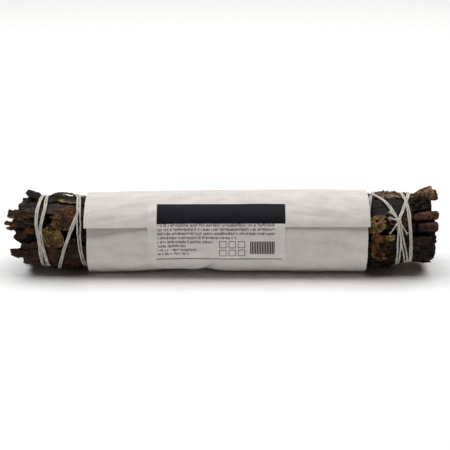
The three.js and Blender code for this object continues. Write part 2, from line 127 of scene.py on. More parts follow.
# How far apart the two yarns lie, after some turns
SPREAD = [
    (0, 0.85), (0.3, 1.5), (0.5, 1.2), (0.75, 0.88), (2.15, 0.85), (2.3, 1.6), (2.5, 1.1),
    (2.7, 0.88), (10.9, 0.88), (11.12, 1.6), (11.3, 1.15), (11.5, 0.88), (16.02, 0.75), (17, 0.7),
]
# The paper hides the thread nearer to the middle than this
HIDDEN = 62
# The knot's loose ends: how far each runs along and round, how high it arches, and its end
TAILS = [
    (-3.9, 14, 1.6, "tuft"),
    (-4.2, 4, 2.2, "tuft"),
    (-3.6, -15, 1.2, "frayed"),
    (3.6, -17, 0.8, "frayed"),
]
TAIL_STEPS = 16
# The fibres at each kind of end: how many, how widely they spread, and their length in metres
FRAYED_ENDS = {"tuft": (170, 1.7, 0.0012), "frayed": (34, 0.5, 0.0017)}


class Leaf(NamedTuple):
    """A large leaf on the outside: where it lies, its finish, and its relief in millimetres."""
    start: float
    end: float
    angle: float
    width: float
    turn: float
    taper: float
    finish: str = "dark"
    depth: float = 0.5
    arch: float = 0.0
    curl: float = 0.7
    crumple: float = 0.5
    fold: float = 4.0
    rib: float = 0.14
    vein: float = 0.1
    tip: float = 0.3
    lean: float = 0.0
    torn: float = 1.0
    strips: int = 1
    holes: tuple = ()


LARGE_LEAVES = {
    "loop_leaf_left": Leaf(
        -92.5, -76.5, 106, 3, 0, 0.4, "tan", 0, 0.7, 0.2, 0.3, 3, tip=0, lean=0.5,
    ),
    "olive_leaf_left": Leaf(-92.8, -81.2, 9.5, 9.4, -4, 0.75, "olive", 0, 0, 0.4, 0.6, 2.6),
    "brown_leaf_left": Leaf(-87, -74.4, 41, 12.4, 1, 0.6, "brown", 0, 0, 0.6, 1, 4.2),
    "grey_leaf_left": Leaf(
        -104, -64, 64, 11, -6, 0.1, "grey", 1.1, 0, 0.8, 0.3, 7, torn=0.4,
    ),
    "top_leaf_left": Leaf(
        -102, -65, 91, 12.4, -6, 0.05, "leathery", 0, -0.6, 0.5, 0.6, 4, tip=3.2, torn=0.4,
    ),
    "midrib_leaf_left": Leaf(
        -105, -92, 43, 11, 1, 0.2, "red", 1.2, 0, 0.5, 0.9, 4, 0.5, 0.2, 0.1, torn=0.5,
    ),
    "red_leaf_left": Leaf(
        -103.5, -64, -33, 18.5, -4, 0.1, "red", 0.55, 0, 0.6, 0.4, 6, 0.2, 0.16, torn=0.5,
    ),
    "dark_leaf_left": Leaf(-73.5, -64, 22, 12, 0, 0.1, "dark", 0.8, strips=3),
    "under_leaf_left": Leaf(-104, -65, -86, 14, 3, 0.2, "dark", 0.4, torn=0.5),
    "rear_leaf_left_1": Leaf(-104.5, -64, -132, 14, -3, 0.15, "red", 0.5, torn=0.4),
    "rear_leaf_left_2": Leaf(-103, -65, 178, 15, 5, 0.2, "brown", 0.3, crumple=0.9, torn=0.6),
    "rear_leaf_left_3": Leaf(-103.5, -64, 137, 12, 2, 0.15, "grey", 0.6, torn=0.3),
    "olive_leaf_right": Leaf(
        75.3, 84, 27, 9, 4, 0.7, "yellow", 0, 0, 0.5, 0.7, 3, holes=((0.1, 0.35, 0.6),),
    ),
    "curled_leaf_right": Leaf(77.5, 86.5, -10, 15, -6, 0.5, "curled", 0.4, 0, 0.8, 2.4, 4, 0.3),
    "dark_leaf_right": Leaf(68, 98, 57, 12, 3, 0.15, "leathery", 0.4, 0, 0.5, 0.4, 8, 0.2, 0.1),
    "crinkled_leaf_right": Leaf(71, 95, 93, 12, -2, 0.2, "tan", 0.2, 0, 0.6, 0.9, 2.8, 0.2, 0.15),
    "ragged_leaf_right": Leaf(
        98, 108.2, 60, 9, 2, 0.2, "dark", 2.4, 0, 0.9, 1.4, 2.6, torn=0.9, strips=3,
    ),
    "lower_leaf_right": Leaf(
        68, 111, -31, 18.5, 3, 0.1, "dark", 0.6, 0, 0.9, 0.8, 4, 0.2, 0.15, torn=0.25, strips=7,
    ),
    "under_leaf_right": Leaf(69, 110.6, -84, 15, -3, 0.1, "dark", 0.4, torn=0.2),
    "rear_leaf_right_1": Leaf(68, 109, -130, 13, 3, 0.1, "dark", 0.5, crumple=0.9, torn=0.4),
    "rear_leaf_right_2": Leaf(69, 107, -179, 15, -4, 0.2, "leathery", 0.35, fold=7, torn=0.6),
    "rear_leaf_right_3": Leaf(68, 108.5, 138, 12, 3, 0.15, "brown", 0.6, crumple=0.9, torn=0.4),
}


class Roll(NamedTuple):
    """A leaf rolled lengthwise about an axis of its own, whose cut end stands out."""
    start: float
    end: float
    out: float
    angle: float
    radius: float
    arc: float
    facing: float
    finish: str
    inner: float
    root: float
    torn: float


ROLLED_LEAVES = {
    "rolled_leaf_top": Roll(96, 111.4, 16.9, 92, 4.5, 122, 108, "rolled", 2.2, 0.4, 1),
    "rolled_leaf_front": Roll(94, 112.4, 15.9, 40, 2.15, 140, 55, "quill", -0.6, 0.85, 0.2),
    "rolled_leaf_low": Roll(102, 112, 15.7, 18.5, 2.4, 135, -10, "quill", -0.5, 0.9, 0.2),
}
# How far the rolls lie deeper at their roots, and where along the stick they rise
ROLLED_FLARE = (1.6, 99, 105)
ROLLED_CELL = 0.35

# Leaves under the large ones: their depth and how many at each end, how far from the middle
# their roots lie, their width, how much shorter some are, and the cells of their grid
INNER_LAYERS = [(1.2, 12), (2.0, 12), (3.0, 11)]
INNER_ROOT = 82
INNER_WIDTH = (11, 16)
INNER_SHORTER = 5
INNER_CELL = 0.7
# Broken leaves packed inside, in rings round the axis: how far out, how many, and their radius.
# Then where their roots lie, how far round each is curled, how much shorter some are, their grid
PACKED_RINGS = [(1.4, 3, 1.3), (4.6, 7, 1.6), (7.6, 12, 1.7), (10.4, 16, 1.7), (13.2, 20, 1.7)]
PACKED_ROOT = 93
PACKED_ARC = (70, 165)
PACKED_SHORTER = 7
PACKED_GRID = (13, 15)
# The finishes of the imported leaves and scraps. A mix says how often each one comes up, by its
# place in the list: towards the camera it is plainer than elsewhere.
PACKED_FINISHES = ["dark", "red", "brown", "leathery", "olive", "yellow", "tan", "grey"]
FRONT_MIX = [0, 0, 1, 0, 3, 0, 0, 1, 0, 0]
COMMON_MIX = [0, 0, 0, 1, 2, 0, 3, 1, 0, 6]
# The mass in the middle: its half length, its grid, and how deep it lies under the paper and
# beyond, which changes between two distances from the middle
MIDDLE_REACH = 97
MIDDLE_GRID = (120, 64)
MIDDLE_DEPTH = (1.2, 4.4)
MIDDLE_SINKS = (60, 70)
# How far along the leaves reach at each angle round the left and the right end
ENDS = {
    -1: [
        (-180, 104), (-43, 104), (-12, 103.6), (8, 106.5), (40, 106.6), (62, 106.4), (75, 105.6),
        (90, 104), (110, 102), (140, 103.5), (180, 104),
    ],
    1: [
        (-180, 109.5), (-100, 110.5), (-45, 111), (5, 110.6), (20, 110), (60, 109.2), (180, 109.5),
    ],
}
# Broken tips at the left end: angle, how far out, how far along, width, finish, and how far the
# torn end steps back across it
BROKEN_TIPS = [
    (50, 15.6, 111.4, 6.4, "brown", [(-1, 2.6), (-0.5, 0.2), (1, 0.4)]),
    (28.5, 15, 112.7, 5.2, "brown", [
        (-1, 1.3), (-0.4, 0.9), (-0.25, 2.8), (0.1, 2.8), (0.25, 0.1), (1, 0),
    ]),
    (-27, 16, 109.8, 7.9, "red", [(-1, 2.6), (-0.7, 1.2), (-0.5, 0), (1, 0)]),
    (4, 15.6, 107.8, 8.7, "dark", [(-1, 4.4), (0.15, 0), (1, 1.5)]),
]
TIP_GRID = (44, 18)
# Small scraps caught under the thread: where each lies, its length, width and finish
SCRAPS = [
    (-98.4, 19, 5, 2.4, "brown"), (-79, 74, 11, 2.4, "tan"), (-88.2, 26, 4, 2.6, "red"),
    (-78, -8, 6, 5, "dark"), (-98, -20, 6, 4, "dark"), (-96, -62, 8, 5, "brown"),
    (-101.5, 27, 5, 3, "dark"), (-103, 12, 5, 3.6, "red"), (-84, 150, 9, 5, "olive"),
    (-97, 165, 7, 4, "red"), (-80, -120, 8, 6, "olive"), (-99.5, 42, 11, 1.1, "brown"),
    (93.5, 30, 6, 3.4, "brown"), (96, 20, 7, 5, "leathery"), (97, -14, 9, 5, "dark"),
    (87, 6, 4.4, 2.6, "olive"), (101, -48, 8, 5, "dark"), (90, -46, 7, 5, "dark"),
    (104, -2, 8, 2.6, "dark"), (103, -12, 9, 2.2, "leathery"), (88, 160, 9, 5, "tan"),
    (99, 172, 8, 5, "red"), (84, -110, 9, 6, "brown"), (94, 118, 7, 4, "dark"),
    (87, 24, 7, 3.4, "dark"),
]
SCRAP_CELL = 0.4
# More scraps, at most this many, lie at random outside these places, where a large leaf shows
# whole: from and to along the stick, and from and to round it
SCATTERED = 130
SHOWN_WHOLE = [
    (-110, -66, 48, 128), (-89, -71, 20, 62), (-95, -78, -12, 26), (-101, -64, -70, -14),
    (64, 98, 36, 115), (72, 88, -40, 46), (93, 115, 66, 130), (97, 115, 4, 52),
]
# Dark gaps between the large leaves, where those below lie deeper and are painted darker: where,
# how long along and round in millimetres, and how deep
PITS = [
    (-88.5, 35, 5, 5, 8), (-97.5, 3, 5.5, 4.5, 8), (-79, -6, 3, 2.5, 4), (-95, 53, 6, 2, 3),
    (-76, 86, 8, 1.5, 2), (-73, 12, 3, 6, 3), (81, 67, 5, 2, 3), (88.5, 10, 3, 5, 4),
    (103, 52, 7, 3, 6), (101, 2, 6, 2.4, 4), (76, 0, 2, 12, 3), (86, -42, 5, 2, 3),
    (100, -38, 6, 2, 3), (-90, 160, 8, 2, 3), (84, 158, 8, 2, 3), (-85, -110, 9, 2, 3),
    (-101, 27, 6, 3.5, 5), (78, 72, 3, 2, 3), (-84, 60, 7, 1.2, 2), (104, 72, 5, 3, 5),
    (103, 24, 6, 4, 7), (105, 60, 6, 3, 7),
]

# The finish of each kind of dried leaf: base colour, the colour of its veins and worn rims, the
# gap between its side veins and the size of its net in millimetres, its gloss, its mottling, and
# how far it swells between its net, which is negative on an underside. The swell also sets the
# painted light on the raised cells and the painted shade in the sunken net.
FINISHES = {
    "dark": ("#17100b", "#493629", 3.0, 1.1, 0.6, 0.75, 0.7),
    "leathery": ("#0f0b09", "#33271f", 4.0, 0.8, 0.48, 0.5, 0.4),
    "red": ("#29160f", "#5c3826", 3.0, 1.1, 0.55, 0.6, 0.6),
    "brown": ("#4b301d", "#85592e", 2.6, 1.1, 0.6, 0.7, 0.9),
    "curled": ("#5b3a21", "#906131", 2.6, 1.1, 0.6, 0.7, 0.9),
    "olive": ("#6e5531", "#9c8a54", 2.4, 1.2, 0.65, 0.55, 0.9),
    "yellow": ("#715d34", "#9c7540", 2.4, 1.2, 0.6, 0.7, 0.9),
    "tan": ("#514133", "#9a8062", 2.2, 1.0, 0.7, 0.8, -0.8),
    "grey": ("#403534", "#574840", 5.0, 0.8, 0.7, 0.3, 0.2),
    "rolled": ("#604b3a", "#a2774c", 4.0, 1.0, 0.6, 0.8, -0.4),
    "quill": ("#3f2518", "#74482e", 5.0, 0.9, 0.5, 0.6, 0.4),
}
SLOTS = {
    "dark": "dark_leaf", "leathery": "dark_leaf", "red": "red_leaf", "brown": "brown_leaf",
    "olive": "olive_leaf", "yellow": "olive_leaf", "tan": "tan_leaf", "grey": "grey_leaf",
    "rolled": "brown_leaf", "quill": "brown_leaf", "curled": "brown_leaf",
}

# Print on the label: millimetres from its left edge and down from its top edge
BAND = (4.8, 71, 0.7, 12)
PRINT_ROWS = {"first": 12.9, "pitch": 2.17, "height": 1.2, "left": 5.3}
PRINT_ENDS = [66, 66, 66, 47, 34.4, 19.8, 26, 21.8]
BOXES = {"left": 37, "top": 21, "size": 3.7, "pitch_x": 4.8, "pitch_y": 4.6, "line": 0.35}
BARS = {"left": 52.9, "right": 65.7, "top": 21.2, "bottom": 28.1, "count": 15}
RULE = (4.3, 69.6, 30.9, 31.4)
# Ink stands proud by this much in millimetres, and is this thick in metres
INK_PROUD = 0.015
ROWS_PROUD = 0.02
INK_THICKNESS = 0.00004

# The camera: its distance from the stick's axis, and its focal length for a 36 mm sensor
CAMERA_DISTANCE = 0.64
CAMERA_ELEVATION = 20
CAMERA_LENS = 96.5
CAMERA_AIM = (0.00186, 0.00292)
# The softbox hangs this far behind the stick's axis, in metres. The room around is dim and warm.
SOFTBOX_BEHIND = 0.25
SURROUND_COLOUR = (1, 0.88, 0.7, 1)
SURROUND_STRENGTH = 0.06


def linear(hex_colour):
    """An sRGB hex colour as linear red, green and blue."""
    channels = [int(hex_colour[i:i + 2], 16) / 255 for i in (1, 3, 5)]
    return [c / 12.92 if c <= 0.04045 else ((c + 0.055) / 1.055) ** 2.4 for c in channels]


def colour(name, description, default):
    return FloatVectorProperty(
        name=name, description=description, default=linear(default),
        subtype="COLOR", size=3, min=0, max=1,
    )


def length(name, description, default):
    return FloatProperty(
        name=name, description=description, default=default, min=0, unit="LENGTH", precision=5,
    )


def lerp(low, high, t):
    return low + (high - low) * t


def wrapped(angle):
    """The same angle, between -180 and 180 degrees."""
    return (angle + 180) % 360 - 180


def smoothstep(low, high, value):
    t = min(max((value - low) / (high - low), 0.0), 1.0)
    return t * t * (3 - 2 * t)


def draw(n):
    """A fixed draw between 0 and 1 for each number, so that every run is the same."""
    s = sin(n * 12.9898 + 4.1414) * 43758.5453
    return s - floor(s)


def wave(t, seed):
    """A smooth wave of three lengths, between -1 and 1, that differs for each seed."""
    long = sin(t * 2.1 + seed * 1.7)
    middle = sin(t * 5.3 + seed * 4.1)
    short = sin(t * 9.7 + seed * 2.9)
    return 0.5 * long + 0.3 * middle + 0.2 * short


def jag(t, seed):
    """The steps of a torn edge: level stretches joined by steep flanks, between -1 and 1."""
    i = floor(t)
    before = draw(i + 7.3 * seed)
    after = draw(i + 1 + 7.3 * seed)
    return 2 * lerp(before, after, smoothstep(0.35, 0.65, t - i)) - 1


def along(table, x):
    """A table's value at x, eased between its rows."""
    if x <= table[0][0]:
        return table[0][1]
    for (x0, value0), (x1, value1) in zip(table, table[1:]):
        if x < x1:
            return lerp(value0, value1, smoothstep(x0, x1, x))
    return table[-1][1]


def girth(x):
    return along(GIRTH, x)


def route(turns):
    """The thread's distance along the stick after some turns, on a curve through its route."""
    last = len(ROUTE) - 1
    i = next((k for k in range(1, last) if ROUTE[k][0] > turns), last)
    (t0, x0), (t1, x1) = ROUTE[i - 1], ROUTE[i]
    before = ROUTE[max(i - 2, 0)]
    after = ROUTE[min(i + 1, last)]
    slope0 = (x1 - before[1]) / (t1 - before[0])
    slope1 = (after[1] - x0) / (after[0] - t0)
    t = (turns - t0) / (t1 - t0)
    rise0 = t * (1 - t) ** 2 * (t1 - t0) * slope0
    rise1 = t * t * (1 - t) * (t1 - t0) * slope1
    return lerp(x0, x1, t * t * (3 - 2 * t)) + rise0 - rise1


def frame_origin():
    """Where the tables' zero lies in the frame, by two nodes that lie evenly about it."""
    label_low, label_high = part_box("paper_label")
    thread_low, thread_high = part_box("binding_thread")
    x = (label_low.x + label_high.x) / 2 - LABEL_CENTRE * MM
    return Vector((x, (thread_low.y + thread_high.y) / 2, 0))


ORIGIN = frame_origin()


def around(x, angle, r, height=AXIS_HEIGHT):
    """The point in the frame at x along, at an angle round the axis and at distance r."""
    a = radians(angle)
    return ORIGIN + MM * Vector((x, -r * cos(a), height + r * sin(a)))


def on_stick(x, angle, r):
    return around(x, angle, r, AXIS_HEIGHT + along(RISE, x))


def among_leaves(x, angle, r):
    """The same for leaves, which are pressed flat underneath where they are bound."""
    p = on_stick(x, angle, r)
    free = smoothstep(*FREE_LEAVES, abs(x))
    floor_height = lerp(LEAF_FLOOR["bound"], LEAF_FLOOR["free"], free)
    p.z = max(p.z, MM * (floor_height + girth(x) - r))
    return p


# The thread's passes are noted at every few degrees. Each presses the leaves in over a width,
# and the leaves bulge between the passes.
PASS_STEP = 3
PRESS_WIDTH = 1.5
LEAF_BULGE = 0.35
LEAF_SINK = 0.35


def thread_passes():
    """Where along the stick the thread crosses each angle round it."""
    passes = [[] for _ in range(360 // PASS_STEP)]
    turns = KNOT_TURN
    while turns < ROUTE[-1][0]:
        angle = (90 - 360 * turns) % 360
        passes[int(angle // PASS_STEP)].append(route(turns))
        turns += PASS_STEP / 360
    return passes


PASSES = thread_passes()


def pressed(x, angle):
    """How hard the thread presses at a place on the leaves, from 0 to 1."""
    near = PASSES[int(angle % 360 // PASS_STEP)]
    return max(exp(-(((x - at) / PRESS_WIDTH) ** 2)) for at in near)


def skin(x, press):
    """The radius of the leaves' outer face, which swells between the passes of the thread."""
    return girth(x) + lerp(LEAF_BULGE, -LEAF_SINK, press)


def pit(x, angle):
    """How much deeper the leaves lie at a place because of the gaps between the large ones."""
    deeper = 0.0
    for x0, angle0, long, wide, depth in PITS:
        aside = radians(wrapped(angle - angle0)) * 18
        deeper = max(deeper, depth * exp(-(((x - x0) / long) ** 2) - (aside / wide) ** 2))
    return deeper


def leaf_tone_and_shade(seed, buried=0.0):
    """A leaf's tone from 0 to 1: its own tone, which differs at random, times painted shade
    that is darker the deeper it is buried in millimetres.
    """
    return (0.6 + 0.4 * draw(seed)) * exp(-max(buried, 0) / 3)


def cut_to_end(end, angle, reach, seed):
    """Keep a leaf within the stick's ragged end, with a short blocky tear of its own."""
    angle = wrapped(angle)
    limit = along(ENDS[end], angle) + 0.5 * jag(angle / 7, seed)
    return min(reach, limit + 0.03 * (reach - limit))


def in_order(items):
    """Each item once, in an order that is the same in every run, as a set's is not."""
    return list(dict.fromkeys(items))


def new_leaves():
    """A mesh to add leaves to. Each point keeps its place on its leaf and its distance from the
    leaf's rim, in millimetres, and the leaf's own tone with its painted shade, or on paper the
    flap's painted shadow."""
    bm = bmesh.new()
    bm.verts.layers.float_vector.new("grain")
    bm.verts.layers.float.new("rim")
    return bm


def blade(bm, columns, rows, place, thickness, paint=0, holes=()):
    """Add one thin leaf. place gives the point, its grain and its distance from the rim for u
    and v from -1 to 1, and paint is the number of its material. A hole has its place in u and v
    and a radius in millimetres."""
    verts = bmesh.ops.create_grid(bm, x_segments=columns, y_segments=rows, size=1)["verts"]
    grain = bm.verts.layers.float_vector["grain"]
    rim = bm.verts.layers.float["rim"]
    spots = [place(u, v)[0] for u, v, _ in holes]
    for vert in verts:
        vert.co, vert[grain], vert[rim] = place(vert.co.x, vert.co.y)
        for spot, (_, _, radius) in zip(spots, holes):
            vert[rim] = min(vert[rim], abs((vert.co - spot).length / MM - radius))
    for spot, (_, _, radius) in zip(spots, holes):
        gone = [vert for vert in verts if vert.is_valid and (vert.co - spot).length < radius * MM]
        bmesh.ops.delete(bm, geom=gone, context="VERTS")
    verts = [vert for vert in verts if vert.is_valid]
    for vert in verts:
        vert.normal_update()
    faces = in_order(face for vert in verts for face in vert.link_faces)
    made = bmesh.ops.extrude_face_region(bm, geom=faces, use_keep_orig=True)["geom"]
    inner = [item for item in made if isinstance(item, bmesh.types.BMVert)]
    for vert in inner:
        vert.co -= vert.normal * thickness
        for face in vert.link_faces:
            face.material_index = paint
    for face in faces:
        face.material_index = paint


def tube(bm, steps, sides, place):
    """Add a round bar. place gives the point for a step along it and a side round it."""
    verts = bmesh.ops.create_grid(bm, x_segments=steps, y_segments=sides, size=1)["verts"]
    for vert in verts:
        step = round((vert.co.x + 1) / 2 * steps)
        side = round((vert.co.y + 1) / 2 * sides) % sides
        vert.co = place(step, side)
    # The seam's points lie on each other, but for their rounding
    bmesh.ops.remove_doubles(bm, verts=verts, dist=1e-7)
    left = [vert for vert in verts if vert.is_valid]
    rims = in_order(edge for vert in left for edge in vert.link_edges if edge.is_boundary)
    bmesh.ops.edgeloop_fill(bm, edges=rims)


def to_object(bm, name, materials):
    """Turn a mesh into an object in the scene."""
    mesh = bpy.data.meshes.new(name)
    bm.to_mesh(mesh)
    bm.free()
    for material in materials:
        mesh.materials.append(material)
    made = bpy.data.objects.new(name, mesh)
    bpy.context.scene.collection.objects.link(made)
    return made


# Edges that are sharper than this are not shaded smooth
SHARP_ANGLE = 55


def finish_piece(bm, name, materials, slot, *nodes):
    """Turn a mesh into a finished piece that rides on the stick and stands for CAD nodes."""
    bmesh.ops.recalc_face_normals(bm, faces=bm.faces)
    for edge in bm.edges:
        edge.smooth = edge.calc_face_angle(0) < radians(SHARP_ANGLE)
    for face in bm.faces:
        face.smooth = True
    piece = to_object(bm, name, materials)
    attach(piece, "root")
    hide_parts(*nodes)


def finish_leaf(bm, node, finish):
    """Finish a large or rolled leaf, which stands for the CAD node of its name."""
    material = bpy.data.materials["dried_leaf_" + finish]
    finish_piece(bm, "dried_" + node, [material], SLOTS[finish], node)


def add(tree, kind, inputs=None, **settings):
    """Add a node to a tree with its settings. An input takes a value, the output of another
    node, or that node for its first output."""
    node = tree.nodes.new("ShaderNode" + kind)
    for name, value in settings.items():
        setattr(node, name, value)
    for name, value in (inputs or {}).items():
        if isinstance(value, bpy.types.Node):
            value = value.outputs[0]
        if isinstance(value, bpy.types.NodeSocket):
            tree.links.new(value, node.inputs[name])
        else:
            node.inputs[name].default_value = value
    return node


def new_material(name):
    """A material that has no shader yet, its nodes, and the place on the object."""
    material = bpy.data.materials.new(name)
    material.use_nodes = True
    tree = material.node_tree
    tree.nodes.clear()
    return material, tree, add(tree, "TexCoord").outputs["Object"]


def shade(base, factor):
    """A linear colour made darker or lighter, with full alpha."""
    return [min(c * factor, 1) for c in base] + [1]


def leaf_material(settings, key):
    """Dried leaf: mottled in patches of several millimetres, with a midrib and side veins that
    stand up, pebbled between its net of veins, lighter on its raised cells and darker in its
    sunken net as painted light and shade, and paler at its worn rims. Resin leaves a broken,
    dull gloss. Painted shade darkens the buried leaves."""
    _, worn, vein_gap, net_size, gloss, mottle, swell = FINISHES[key]
    base = getattr(settings, key)
    worn = linear(worn)
    material, tree, place = new_material("dried_leaf_" + key)
    patches = add(tree, "TexNoise", {
        "Vector": place, "Scale": 1 / 0.0045, "Detail": 6.0, "Roughness": 0.6,
    })
    specks = add(tree, "TexNoise", {"Vector": place, "Scale": 1 / 0.0012, "Detail": 4.0})
    grain = add(tree, "Attribute", attribute_name="grain").outputs["Vector"]
    parts = add(tree, "SeparateXYZ", {0: grain})
    across = add(tree, "Math", {0: parts.outputs["Y"]}, operation="ABSOLUTE")
    slanted = add(tree, "Math", {0: across, 1: 0.9, 2: parts.outputs["X"]}, operation="MULTIPLY_ADD")
    bent = add(tree, "Math", {0: patches, 1: 1.6, 2: slanted}, operation="MULTIPLY_ADD")
    between = add(tree, "Math", {0: bent, 1: vein_gap / 2}, operation="PINGPONG")
    side_vein = add(tree, "MapRange", {
        "Value": between, "From Min": 0.1, "From Max": 0.34, "To Min": 1.0, "To Max": 0.0,
    }, interpolation_type="SMOOTHSTEP")
    midrib = add(tree, "MapRange", {
        "Value": across, "From Min": 0.15, "From Max": 0.5, "To Min": 1.0, "To Max": 0.0,
    }, interpolation_type="SMOOTHSTEP")
    veins = add(tree, "Math", {0: side_vein, 1: midrib}, operation="MAXIMUM")
    cells = add(tree, "TexVoronoi", {
        "Vector": place, "Scale": 1000 / net_size, "Randomness": 1.0,
    }, feature="DISTANCE_TO_EDGE")
    pebble = add(tree, "MapRange", {
        "Value": cells, "From Min": 0.02, "From Max": 0.3,
    }, interpolation_type="SMOOTHSTEP")
    rim = add(tree, "Attribute", attribute_name="rim").outputs["Fac"]
    ragged = add(tree, "Math", {0: specks, 1: -1.3, 2: rim}, operation="MULTIPLY_ADD")
    wear = add(tree, "MapRange", {
        "Value": ragged, "From Min": -0.9, "From Max": -0.2, "To Min": 0.5, "To Max": 0.0,
    }, interpolation_type="SMOOTHSTEP")

    depth = add(tree, "MapRange", {"Value": patches, "From Min": 0.44, "From Max": 0.6})
    light = [lerp(1.7 * c, w, 0.35 * mottle) for c, w in zip(base, worn)] + [1]
    body = add(tree, "Mix", {0: depth, 6: shade(base, 1 - 0.8 * mottle), 7: light}, data_type="RGBA")
    speckle = add(tree, "MapRange", {
        "Value": specks, "From Min": 0.36, "From Max": 0.64,
        "To Min": 1 - 0.8 * mottle, "To Max": 1 + mottle,
    })
    # Painted light and shade that follow the relief: raised cells lighter and the sunken net darker,
    # the other way round on an underside
    pebble_light_and_shade = add(tree, "MapRange", {
        "Value": pebble, "To Min": 1 - 0.55 * swell, "To Max": 1 + 0.35 * swell,
    })
    bright = add(tree, "Math", {0: speckle, 1: pebble_light_and_shade}, operation="MULTIPLY")
    patched = add(tree, "VectorMath", {0: body.outputs[2], "Scale": bright}, operation="SCALE")
    seen = add(tree, "Math", {0: veins, 1: depth}, operation="MULTIPLY")
    seen = add(tree, "Math", {0: seen, 1: 0.3}, operation="MULTIPLY")
    veined = add(tree, "Mix", {0: seen, 6: patched, 7: worn + [1]}, data_type="RGBA")
    rimmed = add(tree, "Mix", {0: wear, 6: veined.outputs[2], 7: worn + [1]}, data_type="RGBA")
    # The grain's third value scales the colour: the leaf's own tone and the painted shade of buried
    # leaves
    tone = add(tree, "MapRange", {"Value": parts.outputs["Z"], "To Min": 0.1, "To Max": 1.25})
    skin_colour = add(tree, "VectorMath", {0: rimmed.outputs[2], "Scale": tone}, operation="SCALE")

    roughness = add(tree, "MapRange", {
        "Value": patches, "From Min": 0.35, "From Max": 0.65,
        "To Min": gloss - 0.12, "To Max": gloss + 0.2,
    })
    raised = add(tree, "Math", {0: pebble, 1: 0.7 * swell, 2: specks}, operation="MULTIPLY_ADD")
    height = add(tree, "Math", {0: veins, 1: 0.8, 2: raised}, operation="MULTIPLY_ADD")
    bump = add(tree, "Bump", {"Height": height, "Strength": 0.9, "Distance": 0.0003})
    shader = add(tree, "BsdfPrincipled", {
        "Base Color": skin_colour, "Roughness": roughness, "Normal": bump,
        "Specular IOR Level": 0.14,
    })
    add(tree, "OutputMaterial", {0: shader})
    return material


def cotton_material(settings):
    """Undyed cotton yarn, softly twisted: matt, slightly fuzzy, and unevenly grey."""
    material, tree, place = new_material("undyed_cotton_yarn")
    # Fibres are some 0.02 mm thick and are drawn coarser, at 0.15 mm, to show
    fibres = add(tree, "TexNoise", {"Vector": place, "Scale": 1 / 0.00015, "Detail": 3.0})
    soil = add(tree, "TexNoise", {"Vector": place, "Scale": 1 / 0.004, "Detail": 2.0})
    both = add(tree, "Math", {0: fibres, 1: 0.5, 2: soil}, operation="MULTIPLY_ADD")
    share = add(tree, "MapRange", {"Value": both, "From Min": 0.55, "From Max": 0.95})
    mixed = add(tree, "Mix", {
        0: share, 6: shade(settings.cotton, 0.62), 7: shade(settings.cotton, 1.05),
    }, data_type="RGBA").outputs[2]
    bump = add(tree, "Bump", {"Height": fibres, "Strength": 0.6, "Distance": 0.0001})
    shader = add(tree, "BsdfPrincipled", {
        "Base Color": mixed, "Roughness": 0.9, "Normal": bump, "Sheen Weight": 0.3,
        "Sheen Roughness": 0.6,
    })
    add(tree, "OutputMaterial", {0: shader})
    return material


def paper_material(name, base, fibre, gloss, dark=0.84):
    """Wood-free paper: faint cloudy tone, fibres that show as a fine uneven bump, and a painted
    shadow, up to a fifth darker, where the loose flap shades the sheet below it."""
    material, tree, place = new_material(name)
    stretch = add(tree, "Mapping", {"Vector": place, "Scale": (0.4, 1.0, 1.0)})
    clouds = add(tree, "TexNoise", {"Vector": stretch, "Scale": 1 / 0.004, "Detail": 3.0})
    fibres = add(tree, "TexNoise", {
        "Vector": stretch, "Scale": 1 / fibre, "Detail": 3.0, "Roughness": 0.6,
    })
    both = add(tree, "Math", {0: fibres, 1: 0.6, 2: clouds}, operation="MULTIPLY_ADD")
    share = add(tree, "MapRange", {"Value": both, "From Min": 0.55, "From Max": 1.05})
    mixed = add(tree, "Mix", {0: share, 6: shade(base, dark), 7: shade(base, 1.05)}, data_type="RGBA")
    # Painted shadow: the grain's third value darkens the paper below the loose flap
    grain = add(tree, "Attribute", attribute_name="grain").outputs["Vector"]
    through = add(tree, "SeparateXYZ", {0: grain}).outputs["Z"]
    left = add(tree, "MapRange", {"Value": through, "To Min": 1.0, "To Max": 0.8})
    shown = add(tree, "VectorMath", {0: mixed.outputs[2], "Scale": left}, operation="SCALE")
    bump = add(tree, "Bump", {"Height": both, "Strength": 0.5, "Distance": 0.002 * (1 - dark)})
    shader = add(tree, "BsdfPrincipled", {
        "Base Color": shown, "Roughness": gloss, "Normal": bump,
    })
    add(tree, "OutputMaterial", {0: shader})
    return material


def ink_material(name, base):
    """Thermal print: flat and dark, with a slight gloss and faint uneven cover."""
    material, tree, place = new_material(name)
    cover = add(tree, "TexNoise", {"Vector": place, "Scale": 1 / 0.0006, "Detail": 3.0})
    share = add(tree, "MapRange", {"Value": cover, "From Min": 0.35, "From Max": 0.65})
    mixed = add(tree, "Mix", {0: share, 6: shade(base, 0.85), 7: shade(base, 1.3)}, data_type="RGBA")
    shader = add(tree, "BsdfPrincipled", {
        "Base Color": mixed.outputs[2], "Roughness": 0.6, "Specular IOR Level": 0.15,
    })
    add(tree, "OutputMaterial", {0: shader})
    return material


